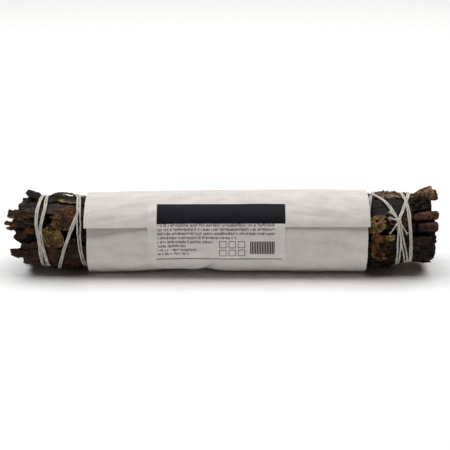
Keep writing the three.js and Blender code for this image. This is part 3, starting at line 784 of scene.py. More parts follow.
class SmudgeLeafSettings(bpy.types.PropertyGroup):
    """Sizes and colours of the dried leaves"""
    thickness: length("Thickness", "Thickness of a dried leaf", 0.00038)
    cell: length("Detail", "Size of the smallest facets of a leaf", 0.00042)
    dark: colour("Dark leaf", "Most of the packed leaves", FINISHES["dark"][0])
    leathery: colour("Leathery leaf", "Smooth dark leaves with a dull gloss", FINISHES["leathery"][0])
    red: colour("Red-brown leaf", "Smooth red-brown leaves", FINISHES["red"][0])
    brown: colour("Brown leaf", "Crumpled warm brown leaves", FINISHES["brown"][0])
    curled: colour("Curled leaf", "Orange-brown leaf in tight curls", FINISHES["curled"][0])
    olive: colour("Olive leaf", "Pebbled olive leaves", FINISHES["olive"][0])
    yellow: colour("Yellow leaf", "Olive-yellow leaf with worn rims", FINISHES["yellow"][0])
    tan: colour("Tan leaf", "Netted undersides", FINISHES["tan"][0])
    grey: colour("Grey leaf", "Matt grey-purple leaves", FINISHES["grey"][0])
    rolled: colour("Rolled leaf", "Large leaf rolled lengthwise", FINISHES["rolled"][0])
    quill: colour("Tight roll", "Leaf rolled tight, red-brown", FINISHES["quill"][0])


class SmudgeThreadSettings(bpy.types.PropertyGroup):
    """Sizes and colour of the binding thread"""
    radius: length("Yarn radius", "Radius of one of the two yarns", 0.00047)
    pitch: length("Twist", "Length along the yarn of one turn of its plies", 0.0034)
    cotton: colour("Cotton", "Undyed cotton", "#dcd4c8")


class SmudgePaperSettings(bpy.types.PropertyGroup):
    """Sizes and colours of the wrapping paper and its label"""
    thickness: length("Paper thickness", "Thickness of the wrapping paper", 0.00025)
    label_thickness: length("Label thickness", "Thickness of the label", 0.00018)
    paper: colour("Paper", "Uncoated wrapping paper", "#d9d2ce")
    label: colour("Label", "Label paper", "#e0dad6")
    band: colour("Band", "Dark printed band", "#0b0c13")
    small_print: colour("Small print", "Grey printed rows and bars", "#4b484d")


class SmudgeStageSettings(bpy.types.PropertyGroup):
    """The floor and the lights"""
    floor_size: length("Floor size", "Side of the square floor", 6.0)
    light_width: length("Light width", "Width of the overhead softbox", 2.8)
    light_depth: length("Light depth", "Depth of the overhead softbox, front to back", 1.5)
    light_height: length("Light height", "Height of the overhead softbox", 1.3)
    light_energy: FloatProperty(
        name="Light energy", description="Power of the overhead softbox",
        default=37.5, min=0, unit="POWER",
    )
    floor: colour("Floor", "White seamless floor", "#f4f4f4")


def large_leaf(bm, settings, leaf, seed):
    """Add a large leaf that lies on the bundle, with torn rims, veins and crumples."""
    half_length = (leaf.end - leaf.start) / 2
    middle = (leaf.start + leaf.end) / 2
    cell = settings.cell / MM

    def place(u, v):
        free = smoothstep(0.55, 1, abs(u))
        torn_end = 2.0 * wave(3 * v, seed) * (1 - leaf.taper) + jag(v * leaf.width / 4, seed)
        torn_end += 0.3 * jag(v * leaf.width / 1.6, seed + 1)
        torn_end *= leaf.torn
        reach = u * half_length + free * (torn_end if u * middle > 0 else -0.4 * torn_end)
        x = middle + reach
        narrowed = sqrt(1 - leaf.taper * u * u) * (1 + 0.1 * wave(3 * u + v, seed + 3))
        narrowed *= 1 - 0.3 * leaf.taper * smoothstep(0.7, 1, abs(u))
        side = seed + (31 if v > 0 else 53)
        notch = 0.55 * jag(reach / 3.1, side) + 0.22 * jag(reach / 1.2, side + 5)
        half = leaf.width / 2 * narrowed + notch * abs(v) ** 3
        across = v * half
        angle = leaf.angle + leaf.turn * u + degrees(across / girth(x))
        press = pressed(x, angle)
        spot = Vector((reach, across, 17.0 * seed))
        crumple = 0.45 - abs(noise.noise(spot / leaf.fold)) * 1.6
        swell = noise.noise(spot / 9)
        rib = exp(-((across / 0.5) ** 2))
        gap = FINISHES[leaf.finish][2]
        slant = (reach + 0.9 * abs(across)) / gap
        vein = exp(-(((slant - round(slant)) * gap / 0.32) ** 2))
        lift = leaf.crumple * crumple + 0.3 * swell + leaf.rib * rib + leaf.vein * vein
        edge = smoothstep(0.5, 1, abs(v))
        lift += leaf.curl * edge * (0.6 + wave(2.4 * u, seed + 9)) + leaf.lean * v
        lift += 0.06 * noise.noise(spot / 0.9)
        lift += leaf.tip * max((u if middle > 0 else -u) - 0.5, 0) / 0.5
        r = skin(x, press) - leaf.depth + (1 - 0.85 * press) * lift
        r += leaf.arch * (1 - u * u)
        rim = min((1 - abs(u)) * half_length, (1 - abs(v)) * half)
        # Painted shade: a leaf that lies deeper is painted darker
        tone = leaf_tone_and_shade(seed + 0.5, leaf.depth - 0.5)
        return among_leaves(x, angle, r), Vector((reach, across, tone)), rim

    columns, rows = ceil(2 * half_length / cell), ceil(leaf.width / cell)
    blade(bm, columns, rows, place, settings.thickness, holes=leaf.holes)


def torn_strip(leaf, strip, seed):
    """One of the narrow leaves that lie over each other like shingles in a large leaf's place."""
    step = leaf.width / leaf.strips
    aside = degrees((strip - (leaf.strips - 1) / 2) * step / girth(leaf.start))
    end = 1 if leaf.end > 0 else -1
    shorter = 1.2 * draw(seed + 3 * strip)
    return leaf._replace(
        angle=leaf.angle + aside,
        width=1.5 * step,
        depth=leaf.depth + 0.7 * draw(seed + 5 * strip),
        turn=leaf.turn + 3 * wave(strip, seed),
        start=leaf.start + (shorter if end < 0 else 0),
        end=leaf.end - (shorter if end > 0 else 0),
        lean=-0.35,
    )


def rolled_leaf(bm, settings, leaf, seed, inner):
    """Add a leaf rolled about its own axis. The inner roll is tighter and ends elsewhere."""
    drop, flare_start, flare_end = ROLLED_FLARE
    radius = leaf.radius * (0.62 if inner else 1)
    arc = leaf.arc * (1.2 if inner else 1)
    end = leaf.end + (leaf.inner if inner else 0)

    def place(u, v):
        t = (u + 1) / 2
        spread = lerp(leaf.root, 1.1, smoothstep(0, 1, t)) + 0.05 * wave(2 * v, seed)
        along_roll = lerp(leaf.start, end, t)
        side = seed + (4 if v > 0 else 9)
        ragged = 0.1 * leaf.torn * jag(along_roll / 2.2, side) * abs(v) ** 3
        a = radians(leaf.facing + v * arc * (1 + ragged))
        # The end is rounded towards its upper and lower side as the camera sees them
        rounded = 0.9 * sin(a - radians(CAMERA_ELEVATION)) ** 4
        tear = 0.6 * wave(3 * v, seed) - 0.5 + 0.3 * jag(4 * v, seed)
        cut = smoothstep(0.2, 1, u) * (leaf.torn * tear - rounded)
        spot = Vector((along_roll, v * arc / 12, 11.0 * seed))
        wall = radius * spread + 0.22 * noise.noise(spot / 2.2) + 0.12 * noise.noise(spot / 0.9)
        flare = smoothstep(flare_start, flare_end, along_roll)
        p = on_stick(along_roll + cut, leaf.angle, leaf.out - drop * (1 - flare))
        p += MM * wall * Vector((0, -cos(a), sin(a)))
        across = radians(v * arc) * radius
        rim = min((1 - u) * (end - leaf.start) / 2, (1 - abs(v)) * radians(arc) * radius)
        # Painted shade: the inner roll is painted darker
        tone = leaf_tone_and_shade(seed, 3.5 if inner else 0)
        return p, Vector((along_roll, across + 2.5, tone)), rim

    columns = ceil((end - leaf.start) / ROLLED_CELL)
    rows = ceil(2 * radians(arc) * radius / ROLLED_CELL)
    blade(bm, columns, rows, place, settings.thickness)


def inner_leaf(bm, settings, end, depth, count, index, paint):
    """Add a leaf under the large ones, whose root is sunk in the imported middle."""
    seed = 10 * depth + index + (140 if end > 0 else 120)
    angle = 360 * (index + 0.5 * draw(seed) + depth) / count
    far = along(ENDS[end], wrapped(angle)) + 1 - INNER_SHORTER * draw(seed + 7) ** 2
    width = lerp(*INNER_WIDTH, draw(seed + 3))

    def place(u, v):
        reach = lerp(INNER_ROOT, far, (u + 1) / 2)
        free = smoothstep(0.3, 1, u)
        torn_end = 1.2 * wave(3 * v, seed) + 1.5 * jag(1.9 * v, seed) + 0.3 * jag(5 * v, seed + 2)
        reach += free * torn_end * (0.5 if end > 0 else 1)
        half = width / 2 + wave(3 * u, seed + 2) + 0.6 * jag(reach / 2.6, seed + 4) * abs(v) ** 3
        across = v * half
        spin = angle + degrees(across / 16)
        reach = cut_to_end(end, spin, reach, seed)
        x = end * reach
        press = pressed(x, spin)
        spot = Vector((reach, across, 13.0 * seed))
        lift = 0.5 * noise.noise(spot / 3.5) + 0.5 * (0.4 - abs(noise.noise(spot / 2.6)) * 1.6)
        lift += 1.1 * free * wave(1.7 * v + u, seed + 6) - 0.4 * free * v * v
        sunk = depth + 3 * (1 - smoothstep(INNER_ROOT, INNER_ROOT + 10, reach)) + pit(x, spin)
        r = skin(x, press) - sunk + (1 - press) * lift
        rim = min((1 - u) * (far - INNER_ROOT) / 2, (1 - abs(v)) * half)
        # Painted shade: a leaf is painted darker where it is sunk deeper, near its root and in the
        # gaps
        tone = leaf_tone_and_shade(seed + 1, sunk - 0.8)
        return among_leaves(x, spin, r), Vector((reach, across, tone)), rim

    columns, rows = ceil((far - INNER_ROOT) / INNER_CELL), ceil(width / INNER_CELL)
    blade(bm, columns, rows, place, settings.thickness, paint)


def packed_leaf(bm, settings, end, ring, index, seed, paint):
    """Add one broken leaf in a packed end, curled or folded about an axis of its own."""
    out, count, radius = ring
    angle = 360 * (index + 0.4 * draw(seed)) / count + 25 * out
    facing = 360 * draw(seed + 1)
    arc = lerp(*PACKED_ARC, draw(seed + 2))
    far = along(ENDS[end], wrapped(angle)) - PACKED_SHORTER * draw(seed + 3)
    flat = lerp(0.45, 1, draw(seed + 4))

    def place(u, v):
        curl = 1 + 0.15 * u + 0.25 * wave(2 * v, seed) + 0.3 * v
        tear = 1.2 * wave(3 * v, seed) + 1.1 * jag(2.2 * v, seed) + 0.3 * jag(5 * v, seed + 1)
        reach = lerp(PACKED_ROOT, far + tear * (0.5 if end > 0 else 1), (u + 1) / 2)
        reach = cut_to_end(end, angle, reach, seed)
        p = on_stick(end * reach, angle, out)
        a = radians(facing + v * arc)
        wall = radius * curl + 0.15 * noise.noise(Vector((reach, 3 * v, seed)) / 1.5)
        offset = Vector((0, -wall * cos(a), wall * sin(a) * flat))
        turn = radians(angle)
        y = offset.y * cos(turn) - offset.z * sin(turn)
        z = offset.y * sin(turn) + offset.z * cos(turn)
        p += MM * Vector((0, y, z))
        across = v * radians(arc) * radius
        rim = min((1 - u) * (far - PACKED_ROOT) / 2, (1 - abs(v)) * radians(arc) * radius)
        # Painted shade: a packed leaf is painted darker the further back it lies from its end
        tone = leaf_tone_and_shade(seed + 5, (far - reach) / 2)
        return p, Vector((reach, across, tone)), rim

    blade(bm, *PACKED_GRID, place, settings.thickness, paint)


def broken_tip(bm, settings, tip, seed, paint):
    """Add a tip that reaches furthest out of the left end."""
    angle, out, far, width, _, outline = tip

    def place(u, v):
        free = smoothstep(0, 1, u)
        side = seed + (2 if v > 0 else 8)
        half = width / 2 * (1 - 0.15 * free) + 0.35 * jag(7 * u, side) * abs(v) ** 2
        back = free * (along(outline, v) + 0.2 * (1 + jag(3.5 * v, seed)))
        x = lerp(-PACKED_ROOT, -far + back, (u + 1) / 2)
        spot = Vector((x, v * half, 5.0 * seed))
        r = out + 0.8 * v * v * free + 0.4 * noise.noise(spot / 2.5) + 0.1 * noise.noise(spot)
        across = v * half
        rim = min((1 - u) * 9, (1 - abs(v)) * half)
        # Painted shade: a tip is painted darker towards its buried root
        tone = leaf_tone_and_shade(seed, 3 * (1 - free))
        return on_stick(x, angle + degrees(across / out), r), Vector((x, across, tone)), rim

    blade(bm, *TIP_GRID, place, 1.3 * settings.thickness, paint)


def scattered_scraps():
    """Where more scraps lie: rows like those of the table, but with a number for the finish."""
    rows = []
    for n in range(SCATTERED):
        x = lerp(76, 105, draw(n + 0.11))
        if draw(n + 0.23) > 0.5:
            x = -x
        angle = lerp(-180, 180, draw(n + 0.31))
        if any(x0 < x < x1 and a0 < angle < a1 for x0, x1, a0, a1 in SHOWN_WHOLE):
            continue
        size, width = 3 + 5 * draw(n + 0.43), 1.8 + 2.4 * draw(n + 0.57)
        rows.append((x, angle, size, width, int(10 * draw(n + 0.71))))
    return rows


def scrap(bm, settings, row, seed, paint, curl=0.4):
    """Add a small broken piece of leaf that lies on the others."""
    x0, angle0, size, width, _ = row

    def place(u, v):
        notch = 0.5 * jag(3 * u, seed + (3 if v > 0 else 7))
        half = width / 2 * sqrt(1 - 0.6 * u * u) + notch * abs(v) ** 2
        slew = 0.35 * wave(1, seed)
        reach = size / 2 * (u + 0.16 * jag(3 * v, seed) * smoothstep(0.4, 1, abs(u)))
        x = x0 + reach - slew * v * half
        across = v * half + slew * reach
        angle = angle0 + degrees(across / girth(x))
        press = pressed(x, angle)
        spot = Vector((reach, v * half, 9.0 * seed))
        lift = 0.4 * noise.noise(spot / 2.2) + curl * v * v + 0.8 * curl * u * u
        r = skin(x, press) - 0.25 + (1 - press) * lift
        rim = min((1 - abs(u)) * size / 2, (1 - abs(v)) * half)
        return among_leaves(x, angle, r), Vector((reach, v * half, leaf_tone_and_shade(seed))), rim

    columns, rows = ceil(size / SCRAP_CELL), ceil(width / SCRAP_CELL)
    blade(bm, columns, rows, place, settings.thickness, paint)


class SMUDGE_OT_large_leaves(bpy.types.Operator):
    """Lay the large leaves on the outside of the stick"""
    bl_idname = "smudge_stick.large_leaves"
    bl_label = "Large Leaves"

    def execute(self, context):
        settings = context.scene.smudge_leaves
        for seed, (name, leaf) in enumerate(LARGE_LEAVES.items()):
            bm = new_leaves()
            for strip in range(leaf.strips):
                part = leaf if leaf.strips == 1 else torn_strip(leaf, strip, seed)
                large_leaf(bm, settings, part, seed + 40 * strip)
            finish_leaf(bm, name, leaf.finish)
        return {"FINISHED"}


class SMUDGE_OT_rolled_leaves(bpy.types.Operator):
    """Roll the leaves whose cut ends stand out of the right end"""
    bl_idname = "smudge_stick.rolled_leaves"
    bl_label = "Rolled Leaves"

    def execute(self, context):
        settings = context.scene.smudge_leaves
        for seed, (name, leaf) in enumerate(ROLLED_LEAVES.items()):
            bm = new_leaves()
            rolled_leaf(bm, settings, leaf, seed, inner=False)
            rolled_leaf(bm, settings, leaf, seed + 30, inner=True)
            finish_leaf(bm, name, leaf.finish)
        return {"FINISHED"}


class SMUDGE_OT_packed_leaves(bpy.types.Operator):
    """Pack the broken leaves inside, which show at both ends and between the large leaves"""
    bl_idname = "smudge_stick.packed_leaves"
    bl_label = "Packed Leaves"

    def execute(self, context):
        settings = context.scene.smudge_leaves
        materials = [bpy.data.materials["dried_leaf_" + key] for key in PACKED_FINISHES]
        for side, end in (("left", -1), ("right", 1)):
            bm = new_leaves()
            self.pack_end(bm, settings, end)
            finish_piece(bm, "packed_leaves_" + side, materials, "dark_leaf", "packed_leaves")
            bm = new_leaves()
            self.drop_scraps(bm, settings, end)
            finish_piece(bm, "leaf_scraps_" + side, materials, "dark_leaf", "packed_leaves")
        self.pack_middle(materials[0])
        return {"FINISHED"}

    def pack_end(self, bm, settings, end):
        """The leaves under the large ones, those packed inside them, and the broken tips"""
        for layer, (depth, count) in enumerate(INNER_LAYERS):
            for i in range(count):
                turned = 360 * (i + 0.25) / count + 360 * depth / count
                mix = FRONT_MIX if cos(radians(turned)) > -0.2 else COMMON_MIX
                paint = mix[int(10 * draw(31 * layer + i + end))]
                inner_leaf(bm, settings, end, depth, count, i, paint)
        for k, ring in enumerate(PACKED_RINGS):
            mix = COMMON_MIX if k < 3 else FRONT_MIX
            for i in range(ring[1]):
                seed = 60 + 60 * k + (17 if end > 0 else 0) + 3 * i
                packed_leaf(bm, settings, end, ring, i, seed, mix[int(10 * draw(seed + 8))])
        if end < 0:
            for i, tip in enumerate(BROKEN_TIPS):
                broken_tip(bm, settings, tip, i, PACKED_FINISHES.index(tip[4]))

    def drop_scraps(self, bm, settings, end):
        """The scraps of the table, and those that lie at random"""
        for i, row in enumerate(SCRAPS):
            if row[0] * end > 0:
                scrap(bm, settings, row, i, PACKED_FINISHES.index(row[4]))
        for i, row in enumerate(scattered_scraps()):
            if row[0] * end > 0:
                curl = 0.4 + 0.7 * draw(i + 0.9)
                scrap(bm, settings, row, 70 + i, COMMON_MIX[row[4]], curl)

    def pack_middle(self, material):
        """The mass of broken leaves in the middle, rough all over"""
        bm = new_leaves()
        steps, sides = MIDDLE_GRID

        def place(step, side):
            x = lerp(-MIDDLE_REACH, MIDDLE_REACH, step / steps)
            angle = 360 * side / sides
            depth = lerp(*MIDDLE_DEPTH, smoothstep(*MIDDLE_SINKS, abs(x)))
            lump = noise.noise(Vector((x / 3, cos(radians(angle)) * 4, sin(radians(angle)) * 4)))
            return among_leaves(x, angle, girth(x) - depth - pit(x, angle) + 0.7 * lump)

        # Its points keep no tone, so the leaf material paints the mass at a tenth of its colour:
        # painted shade deep inside the bundle
        tube(bm, steps, sides, place)
        finish_piece(bm, "packed_middle", [material], "dark_leaf", "packed_leaves")


# The thread's path is worked out at so many places in each turn, and only every sixth is kept
# where the paper hides it. The yarns' middle lies above the leaves by the lift, in millimetres.
STATIONS_PER_TURN = 240
HIDDEN_SKIP = 6
YARN_LIFT = 0.18
PLY_SIDES = 12
# Loose fibres, in metres: their radius at a frayed end and along the yarns. Along the yarns they
# show beyond a distance from the middle, and near the floor they don't point down.
FRAYED_RADIUS = 0.00006
FUZZ_RADIUS = 0.00002
FUZZ_BEYOND = 0.072
FUZZ_FLOOR = 0.003


def strand_raise(stations):
    """How far each pass of the strand is lifted by those that it crosses, in millimetres."""
    raised = []
    for i, turns in enumerate(stations):
        x = route(turns)
        lifts = [0.0]
        for before in range(i - STATIONS_PER_TURN, -1, -STATIONS_PER_TURN):
            apart = abs(route(stations[before]) - x)
            lifts.append((raised[before] + 0.85) * (1 - smoothstep(1.0, 2.2, apart)))
        raised.append(max(lifts))
    reach = 5
    smooth = []
    for i in range(len(raised)):
        near = raised[max(i - reach, 0):i + reach + 1]
        smooth.append(sum(near) / len(near))
    return smooth


def yarn_path(side):
    """The centre line of one of the two yarns: points and outward directions, coarser where
    the paper hides it."""
    count = int((ROUTE[-1][0] - KNOT_TURN) * STATIONS_PER_TURN)
    stations = [KNOT_TURN + i / STATIONS_PER_TURN for i in range(count + 1)]
    raised = strand_raise(stations)
    path = []
    for i, turns in enumerate(stations):
        if abs(route(turns)) < HIDDEN and i % HIDDEN_SKIP:
            continue
        x = route(turns)
        ahead = (route(turns + 0.004) - route(turns - 0.004)) / 0.008
        slope = ahead / (2 * pi * girth(x))
        apart = side * (along(SPREAD, turns) + 0.2 * wave(31 * turns, 2)) / 2
        apart += 0.1 * wave(17 * turns, 3 * side)
        aside_x = apart / hypot(1, slope)
        aside_angle = degrees(apart * slope / hypot(1, slope) / girth(x))
        angle = 90 - 360 * turns + aside_angle
        lift = YARN_LIFT + raised[i] + 0.06 * wave(13 * turns, side)
        p = on_stick(x + aside_x, angle, girth(x + aside_x) + lift)
        p.z = max(p.z, YARN_FLOOR)
        a = radians(angle)
        path.append((p, Vector((0, -cos(a), sin(a)))))
    return path


def yarn(bm, path, radius, pitch, turn=0.0):
    """Add a yarn of three plies twisted together, along a path of points and directions."""
    rings = []
    run = 0.0
    last = len(path) - 1
    for i, (p, outward) in enumerate(path):
        ahead = path[min(i + 1, last)][0] - path[max(i - 1, 0)][0]
        ahead.normalize()
        if i:
            run += (p - path[i - 1][0]).length
        aside = ahead.cross(outward).normalized()
        up = aside.cross(ahead)
        size = radius * (1 + 0.07 * wave(run / 0.004, turn + 2))
        rings.append((p, aside * size, up * size, turn + 2 * pi * run / pitch))

    def place(step, side):
        p, aside, up, twist = rings[step]
        a = 2 * pi * side / PLY_SIDES
        lobe = 0.74 + 0.26 * abs(cos(1.5 * a))
        return p + lobe * (cos(a + twist) * aside + sin(a + twist) * up)

    tube(bm, last, PLY_SIDES, place)


def fibre(bm, start, direction, bend, size, radius):
    """Add one loose fibre, which tapers as it bends away."""
    steps, sides = 4, 3
    aside = direction.cross(bend).normalized()

    def place(step, side):
        t = step / steps
        centre = start + direction * size * t + bend * size * t * t
        a = 2 * pi * side / sides
        thin = radius * (1 - 0.7 * t)
        return centre + thin * (cos(a) * aside + sin(a) * aside.cross(direction).normalized())

    tube(bm, steps, sides, place)


def random_direction(seed):
    up = 2 * draw(seed) - 1
    spin = 2 * pi * draw(seed + 0.37)
    flat = sqrt(1 - up * up)
    return Vector((flat * cos(spin), flat * sin(spin), up))


class SMUDGE_OT_binding_thread(bpy.types.Operator):
    """Wind the doubled cotton thread round the stick and tie its knot"""
    bl_idname = "smudge_stick.binding_thread"
    bl_label = "Binding Thread"

    def execute(self, context):
        settings = context.scene.smudge_thread
        cotton = cotton_material(settings)
        paths = [yarn_path(side) for side in (-1, 1)]
        for number, path in enumerate(paths, 1):
            bm = bmesh.new()
            yarn(bm, path, settings.radius, settings.pitch, 2.0 * number)
            finish_piece(bm, f"cotton_yarn_{number}", [cotton], "cotton", "binding_thread")
        self.tie_knot(settings, cotton)
        self.raise_fuzz(paths, settings, cotton)
        return {"FINISHED"}

    def by_knot(self, along_stick, round_stick, out):
        x = KNOT[0] + along_stick
        return on_stick(x, KNOT[1] + round_stick, girth(KNOT[0]) + YARN_LIFT + out)

    def tie_knot(self, settings, cotton):
        """A small hard knot, and its four loose ends with their tufts"""
        bm = bmesh.new()
        outward = (self.by_knot(0, 0, 1) - self.by_knot(0, 0, 0)).normalized()
        steps = 60
        loop = []
        for i in range(steps + 1):
            # An overhand knot: a curve of three lobes that passes over and under itself
            s = 2 * pi * i / steps
            flat_x = 0.36 * (sin(s) + 2 * sin(2 * s))
            flat_y = 0.42 * (cos(s) - 2 * cos(2 * s))
            lift = KNOT_LIFT + 0.25 - 0.45 * sin(3 * s)
            loop.append((self.by_knot(flat_x, degrees(flat_y / 20), lift), outward))
        yarn(bm, loop, 0.9 * settings.radius, settings.pitch)
        for number, (reach, spin, arch, end) in enumerate(TAILS):
            start = self.by_knot(0, 0, KNOT_LIFT)
            top = self.by_knot(reach / 2, spin / 2, KNOT_LIFT + arch)
            tip = self.by_knot(reach, spin, 0.2 + arch / 2)
            path = []
            for i in range(TAIL_STEPS + 1):
                t = i / TAIL_STEPS
                p = start * (1 - t) ** 2 + top * 2 * t * (1 - t) + tip * t * t
                path.append((p, outward))
            thin = 0.62 if number == 3 else 0.8
            yarn(bm, path, thin * settings.radius, settings.pitch, number)
            ahead = (tip - top).normalized()
            strands, spread, size = FRAYED_ENDS[end]
            for k in range(strands):
                seed = 100 * number + 1.7 * k
                direction = (ahead + spread * random_direction(seed)).normalized()
                bend = 0.5 * random_direction(seed + 11)
                reached = size * (0.6 + 0.6 * draw(seed + 5))
                fibre(bm, tip, direction, bend, reached, FRAYED_RADIUS)
        finish_piece(bm, "thread_knot", [cotton], "cotton", "binding_thread")

    def raise_fuzz(self, paths, settings, cotton):
        """Loose fibres that stand off the yarns where they show"""
        bm = bmesh.new()
        for number, path in enumerate(paths):
            shown = [item for item in path if abs(item[0].x) > FUZZ_BEYOND]
            for i in range(0, len(shown), 6):
                seed = 900 * number + i
                p, outward = shown[i]
                direction = (random_direction(seed) + 0.7 * outward).normalized()
                if p.z < FUZZ_FLOOR:
                    direction.z = abs(direction.z)
                bend = 0.6 * random_direction(seed + 3)
                size = 0.0005 + 0.0011 * draw(seed + 5)
                start = p + direction * settings.radius * 0.7
                fibre(bm, start, direction, bend, size, FUZZ_RADIUS)
        finish_piece(bm, "thread_fuzz", [cotton], "cotton", "binding_thread")


# The distance from the rim that paper is given, whose rim isn't worn
UNWORN = 9.0
# Creases in the paper: where each starts and ends along and round the stick, its height and
# its width in millimetres
CREASES = [
    (-70, 48, -52, 58, 0.35, 2.2), (-66, 34, -48, 40, -0.3, 2.0), (-52, 62, -30, 70, 0.3, 2.5),
    (-40, 78, -8, 84, 0.3, 2.6), (38, 60, 64, 46, 0.35, 2.4), (44, 76, 76, 66, 0.3, 3),
    (36, 44, 58, 38, -0.3, 2.2), (-66, -8, -44, -24, 0.3, 2.5), (38, -2, 70, -14, 0.3, 2.6),
    (42, -30, 66, -22, -0.25, 2.4), (-30, -44, 10, -50, 0.4, 3), (-60, 110, -20, 102, 0.3, 3),
    (10, 118, 60, 108, 0.35, 3), (-50, 150, 0, 165, 0.3, 3), (20, 175, 70, 160, 0.3, 3),
    (-60, -160, -10, -150, 0.35, 3), (0, -130, 60, -140, 0.3, 3), (-40, -110, 30, -104, 0.3, 3),
    (-16, -78, -2, -30, -1.6, 2.2), (-21, -66, -9, -36, 0.6, 3),
]


def wrinkle(x, angle):
    """How far the paper stands out or in at a place, in millimetres."""
    a = radians(angle)
    arc = PAPER_RADIUS * a
    spot = Vector((x / 17, PAPER_RADIUS * cos(a) / 13, PAPER_RADIUS * sin(a) / 13))
    total = 0.3 * noise.noise(spot) + 0.1 * noise.noise(2.3 * spot)
    total += 0.07 * (0.3 - abs(noise.noise(3.1 * spot)))
    for x0, angle0, x1, angle1, height, width in CREASES:
        side_x, side_arc = x1 - x0, PAPER_RADIUS * radians(angle1 - angle0)
        from_x = x - x0
        from_arc = arc - PAPER_RADIUS * radians(angle0)
        size = hypot(side_x, side_arc)
        share = (from_x * side_x + from_arc * side_arc) / size ** 2
        off = (from_arc * side_x - from_x * side_arc) / size
        if -0.2 < share < 1.2 and abs(off) < 3 * width:
            faded = height * smoothstep(-0.2, 0.3, share) * smoothstep(1.2, 0.7, share)
            total += faded / (1 + (off / (0.5 * width)) ** 2)
    spread = NOTCH["left"] if x < NOTCH["x"] else NOTCH["right"]
    aside, turned = (x - NOTCH["x"]) / spread, (angle - NOTCH["angle"]) / NOTCH["round"]
    return total - NOTCH["depth"] * exp(-(aside ** 2) - turned ** 2)


def end_gap(x):
    """How far the flap stands off the sheet below towards each end of the paper, from 0 to 1."""
    left = min(max((-38 - x) / 32, 0), 1)
    return left + 0.25 * smoothstep(33, 80, x)


def paper_height(x):
    """The height of the paper's axis, which sinks towards the left end."""
    return AXIS_HEIGHT - PAPER_SINK * smoothstep(-15, -70, x)


def paper_skin(x, rolled):
    """The outer radius of the sheet at x, after it is rolled some degrees from its start."""
    angle = FLAP_EDGE_ANGLE + TUCK_ANGLES[0] - rolled
    tuck = TUCK_DEPTH * (1 - smoothstep(*TUCK_ANGLES, rolled))
    gap = end_gap(x)
    # Where the flap is loose the sheet below it folds inwards, along a crease that runs aslant
    crease = TUCK_ANGLES[0] + 14 * gap
    reach = crease - TUCK_ANGLES[0] + 0.1 if rolled < crease else 16
    valley = VALLEY_DEPTH * gap * max(1 - abs(rolled - crease) / reach, 0)
    loose = FLAP_LOOSE * gap * smoothstep(PAPER_ROLL - 45, PAPER_ROLL, rolled)
    radius = PAPER_RADIUS + PAPER_FLARE * x
    return radius - tuck - valley + loose + wrinkle(x, wrapped(angle))


def flap_shadow(x, rolled):
    """How much painted shadow the loose flap casts on the sheet below it, down to the crease,
    from 0 to 1."""
    gap = end_gap(x)
    crease = TUCK_ANGLES[0] + 14 * gap
    return smoothstep(crease + 0.8, crease - 0.8, rolled) * smoothstep(0, 0.3, gap) * (rolled > 30)


def label_skin(x, angle):
    """The outer radius of the label's paper, which bridges the edge of the flap."""
    rolled = FLAP_EDGE_ANGLE + TUCK_ANGLES[0] - angle
    on_sheet = paper_skin(x, rolled) + 0.06
    on_flap = paper_skin(x, rolled + 360)
    half = degrees(LABEL_HEIGHT / 2 / PAPER_RADIUS)
    loose = smoothstep(LABEL_ANGLE - half + 5, LABEL_ANGLE - half, angle)
    corner = 0.15 * loose + 0.5 * loose * smoothstep(LABEL_CENTRE - 30, LABEL_CENTRE - 36, x)
    bridge = smoothstep(FLAP_EDGE_ANGLE - 10, FLAP_EDGE_ANGLE + 1, angle)
    return lerp(on_sheet, on_flap, bridge) + LABEL_LIFT + corner


class SMUDGE_OT_paper_wrap(bpy.types.Operator):
    """Roll the sheet of paper round the stick"""
    bl_idname = "smudge_stick.paper_wrap"
    bl_label = "Paper Wrap"

    def execute(self, context):
        settings = context.scene.smudge_paper
        bm = new_leaves()

        def place(u, v):
            rolled = PAPER_ROLL * (v + 1) / 2
            share = rolled / PAPER_ROLL
            left = lerp(PAPER_LEFT["start"], PAPER_LEFT["flap"], share) + 0.12 * wave(9 * v, 1)
            right = lerp(PAPER_RIGHT["start"], PAPER_RIGHT["flap"], share) + 0.12 * wave(9 * v, 2)
            x = lerp(left, right, (u + 1) / 2)
            uneven = 0.25 * wave(2.5 * u, 4) * smoothstep(PAPER_ROLL - 4, PAPER_ROLL, rolled)
            angle = FLAP_EDGE_ANGLE + TUCK_ANGLES[0] - rolled + uneven
            p = around(x, angle, paper_skin(x, rolled), paper_height(x))
            p.z = max(p.z, PAPER_FLOOR)
            # The grain's third value is the flap's painted shadow
            return p, Vector((x, rolled, flap_shadow(x, rolled))), UNWORN

        # The sheet runs down the front, so its grid is turned over to face outwards
        blade(bm, *PAPER_GRID, lambda u, v: place(-u, v), settings.thickness)
        material = paper_material("uncoated_wrapping_paper", settings.paper, 0.0004, 0.8)
        finish_piece(bm, "wrapping_paper", [material], "paper", "paper_wrap")
        return {"FINISHED"}


